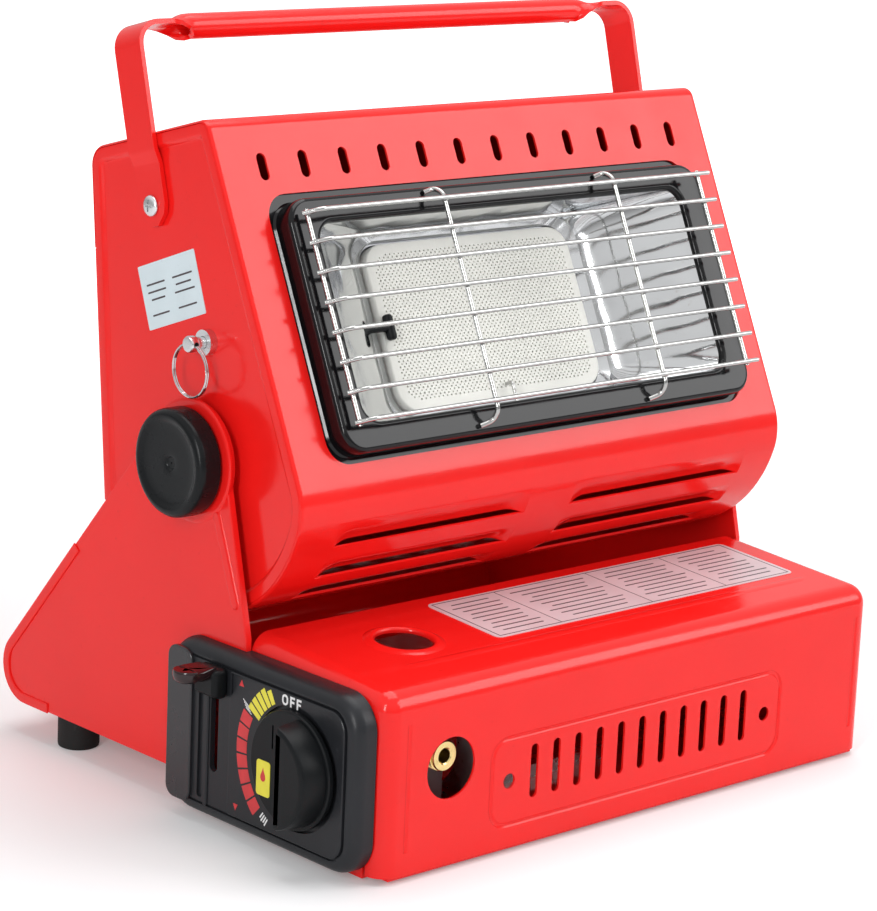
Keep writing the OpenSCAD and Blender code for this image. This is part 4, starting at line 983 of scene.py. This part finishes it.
def build_prints():
    """Generic marks of the dial: red and yellow scale, OFF, two arrows and ticks."""
    low, high = -0.02, 0.07
    red, yellow, white = bmesh.new(), bmesh.new(), bmesh.new()

    def wedge_mark(bm, a1, a2, r1, r2):
        steps = 5
        points = arc((0, 0), r1, a1, a2, steps) + arc((0, 0), r2, a2, a1, steps)
        prism(bm, points, low, high, dial)
    for k in range(7):
        start = 27 - 10.7 * k
        wedge_mark(red, start, start - 9.3, 28.6, 34.6)
    for k in range(5):
        start = 31 + 6.2 * k
        end = start + 4.8
        wedge_mark(yellow, start, end, 25.5, min(33, 27.2 / sin(radians(end))))
    for k in range(4):
        wedge_mark(white, 28.6 + 0.9 * k, 29.1 + 0.9 * k, 30 + k, 34 + k)
    for k in range(4):
        wedge_mark(white, -51 - 2.2 * k, -52.2 - 2.2 * k, 28.5, 31.5 + 0.5 * (k % 2))
    for y, z, flip in ((-48.6, 62.6, 1), (-46.8, 15.0, -1)):
        arrow = [Vector(p) for p in ((y - 1.4, z), (y + 1.4, z), (y, z + 2.6 * flip))]
        prism(red, arrow, -0.72 if flip > 0 else low, high, panel)
    stack(white, [(round_rect(w, h, w * 0.48, -74.3, 64, 6), out) for w, h, out in (
        (3.5, 4.2, low), (3.5, 4.2, high), (1.8, 2.5, high), (1.8, 2.5, low))], panel, loop=True)
    for y in (-78.6, -82.4):
        f = [(0, -2.1), (0.85, -2.1), (0.85, -0.45), (2.4, -0.45), (2.4, 0.4), (0.85, 0.4), (0.85, 1.25),
             (2.7, 1.25), (2.7, 2.1), (0, 2.1)]
        prism(white, [Vector((y + 1.35 - a, 64 + b)) for a, b in f], low, high, panel)
    piece("scale_red", red, "stand", RED_INK)
    piece("scale_yellow", yellow, "stand", YELLOW_INK, slot="marker_yellow")
    piece("marks_white", white, "stand", WHITE_INK)


def build_dial():
    bm = bmesh.new()
    lathe(bm, ((22.2, 0.3), (23, 0.7), (23, 2.3), (22.6, 2.9), (22.0, 3.1)), dial, 96)
    disc = link("dial_knob", bm)
    cut = bmesh.new()
    prism(cut, circle(4, 32), -1, 2.3, dial)
    prism(cut, round_rect(0.9, 9.5, 0.4, 9.8, 10.5, 4), 2.4, 4, dial)
    carve(disc, cut)
    dress(disc, "dial", KNOB_PLASTIC, ("control_knob",), "knob_plastic", angle=30)
    reach = degrees(acos(-4 / 21.5))
    grip = arc((0, 0), 21.5, reach, 360 - reach, 40)
    bm = bmesh.new()
    stack(bm, [(grip, 3.0), (inset(grip, 0.3), 8), (inset(grip, 0.7), 12.2), (inset(grip, 1.1), 13.1),
               (inset(grip, 2.0), 13.6), (inset(grip, 3.2), 13.7)], dial)
    piece("dial_grip", bm, "dial", KNOB_PLASTIC, angle=34)
    bm = bmesh.new()
    prism(bm, round_rect(8, 14, 1.3, 14.5, -7, 5), 2.8, 3.35, dial, 0.12)
    piece("dial_marker", bm, "dial", YELLOW_INK, ("knob_marker",), "marker_yellow")
    bm = bmesh.new()
    drop = [Vector((14.5, -6)) + Vector(p) for p in (
        (0, 3.2), (-0.5, 1.8), (-1.3, 0.3), (-1.5, -0.9), (-1.0, -1.9), (0, -2.3), (1.0, -1.9),
        (1.5, -0.9), (1.3, 0.3), (0.5, 1.8))]
    prism(bm, drop, 3.33, 3.41, dial)
    piece("dial_drop", bm, "dial", RED_INK)


def build_lever():
    def place(x, y, z):
        return mid(x, y, z)
    tongue =[Vector(p) for p in ((-150, 5.2), (-156, 6), (-160, 6))] + arc((-160, 0), 6, 90, 270, 14)
    tongue += [Vector(p) for p in ((-160, -6), (-156, -6), (-150, -5.2))]
    tongue = [Vector((p.x, p.y - 31.6)) for p in tongue]
    bm = bmesh.new()
    stack(bm, [(inset(tongue, 1.6), 62.6), (inset(tongue, 0.4), 63.6), (tongue, 65.2), (tongue, 66.6),
               (inset(tongue, 0.35), 67.3), (inset(tongue, 1.2), 67.5), (inset(tongue, 2.4), 67.2)], place)
    piece("lever_tab", bm, "lever", LEVER_PLASTIC, ("lock_lever",), "knob_plastic", angle=40)
    bm = bmesh.new()
    foot = round_rect(14, 12, 2.2, -32.6, 61, 5)
    stack(bm, [(foot, 0.3), (foot, 2.5), (inset(foot, 0.8), 4.6), (inset(foot, 2.0), 6.0)], panel)
    box(bm, (-148, -33.9, 59), (-136.5, -29.3, 65))
    box(bm, (-136.55, -36.6, 56), (-130.55, -26.6, 68))
    piece("lever_foot", bm, "lever", KNOB_PLASTIC, bevel=0.3)


def build_tilt_knob(side, word):
    """Round clamp knob with a rolled rim and a dished middle."""
    place = on_side(side, BRACKET_OUT, PIVOT_Y, PIVOT_Z)
    bm = bmesh.new()
    lathe(bm, ((5.05, 0.3), (9, 0.3), (9, 1.85), (20.2, 1.85), (21.0, 2.2), (21.3, 3.0), (21.3, 9.0),
               (21.1, 10.2), (20.5, 11.2), (19.5, 11.9), (18.4, 12.1), (17.4, 11.9), (16.4, 11.3),
               (15.2, 10.9), (12, 10.7), (6, 10.6), (3.4, 10.5), (2.6, 10.1), (2.2, 9.6), (0.4, 9.5),
               (0.4, 8.3), (5.05, 8.3)), place, 96, loop=True)
    piece(word + "_clamp_knob", bm, word + "_knob", TILT_PLASTIC, (word + "_tilt_knob",),
          "knob_plastic", angle=40)


build_shell()
build_side_pan(-1, "left_side_pan_sheet")
build_side_pan(1, "right_side_pan_sheet")
build_face()
build_grille()
build_head_fittings()
build_plunger()
build_handle()
build_bracket(-1, "left_bracket_sheet")
build_bracket(1, "right_bracket_sheet")
build_rear()
build_inlet()
build_lid()
build_panel()
build_dial()
build_lever()
build_tilt_knob(-1, "left")
build_tilt_knob(1, "right")


# ---------------------------------------------------------------- studio and camera

def build_stage():
    """Floor that also glows: more with the distance for the camera, faintly in mirrors."""
    size = 5.0
    bm = bmesh.new()
    bm.faces.new([bm.verts.new((x * size, y * size, 0))
                  for x, y in ((-1, -1), (1, -1), (1, 1), (-1, 1))])
    floor = link("studio_floor", bm)
    material = bpy.data.materials.new("studio_floor")
    n = Nodes(material)
    direct, glossy = n.rays()
    reach = n.add("ShaderNodeVectorMath", {0: n.where("Object")}, operation="LENGTH")
    far = n.spread(reach.outputs["Value"], 0.35, 1.3, 0.16, 0.9)
    strength = n.math("MAXIMUM", n.math("MULTIPLY", direct, far),
                      n.math("MULTIPLY", glossy, 0.08))
    diffuse = n.add("ShaderNodeBsdfDiffuse", {"Color": (0.84, 0.84, 0.85, 1)})
    glow = n.add("ShaderNodeEmission", {"Color": (1, 1, 1, 1), "Strength": strength})
    both = n.add("ShaderNodeAddShader", {0: diffuse.outputs[0], 1: glow.outputs[0]})
    n.add("ShaderNodeOutputMaterial", {"Surface": both.outputs[0]})
    floor.data.materials.append(material)


def build_world():
    """White for the camera, paler upward in mirrors, even and weaker for the rest."""
    world = bpy.data.worlds.new("studio")
    bpy.context.scene.world = world
    n = Nodes(world)
    direct, glossy = n.rays()
    split = n.add("ShaderNodeSeparateXYZ", {"Vector": n.where("Generated")})
    sky = n.math("MULTIPLY", n.spread(split.outputs["Z"], -0.1, 0.55, 0.25, 0.95), glossy)
    strength = n.math("MAXIMUM", n.math("MAXIMUM", direct, sky), 0.4)
    ground = n.add("ShaderNodeBackground", {"Color": (1, 1, 1, 1), "Strength": strength})
    n.add("ShaderNodeOutputWorld", {"Surface": ground.outputs[0]})


def lamp(name, place, target, size, power):
    light = bpy.data.lights.new(name, "AREA")
    light.shape = "RECTANGLE"
    light.size, light.size_y = size
    light.energy = power
    obj = bpy.data.objects.new(name, light)
    bpy.context.scene.collection.objects.link(obj)
    obj.location = place
    obj.rotation_euler = (Vector(target) - Vector(place)).to_track_quat("-Z", "Y").to_euler()


def build_camera():
    data = bpy.data.cameras.new("view")
    data.sensor_width = 36
    data.lens = 124.6
    camera = bpy.data.objects.new("view", data)
    bpy.context.scene.collection.objects.link(camera)
    look = Vector((0.66203, 0.71368, -0.22886)).normalized()
    right = look.cross(Vector((0, 0, 1))).normalized()
    up = right.cross(look)
    roll = radians(2.52)
    r = right * cos(roll) + up * sin(roll)
    u = up * cos(roll) - right * sin(roll)
    turn = Matrix((r, u, -look)).transposed().to_4x4()
    camera.matrix_world = Matrix.Translation((-0.865485, -0.93432, 0.42433)) @ turn
    bpy.context.scene.camera = camera


build_stage()
build_world()
lamp("top_softbox", (0.35, 0, 2.0), (0, 0, 0.1), (1.6, 1.6), 24)
lamp("key_softbox", (1.3, -1.5, 1.15), (0, 0, 0.15), (1.3, 1.1), 18)
lamp("left_strip", (-1.6, -0.85, 0.75), (0, 0, 0.15), (0.16, 0.9), 13)
build_camera()

settings = bpy.context.scene.view_settings
settings.view_transform = "Standard"
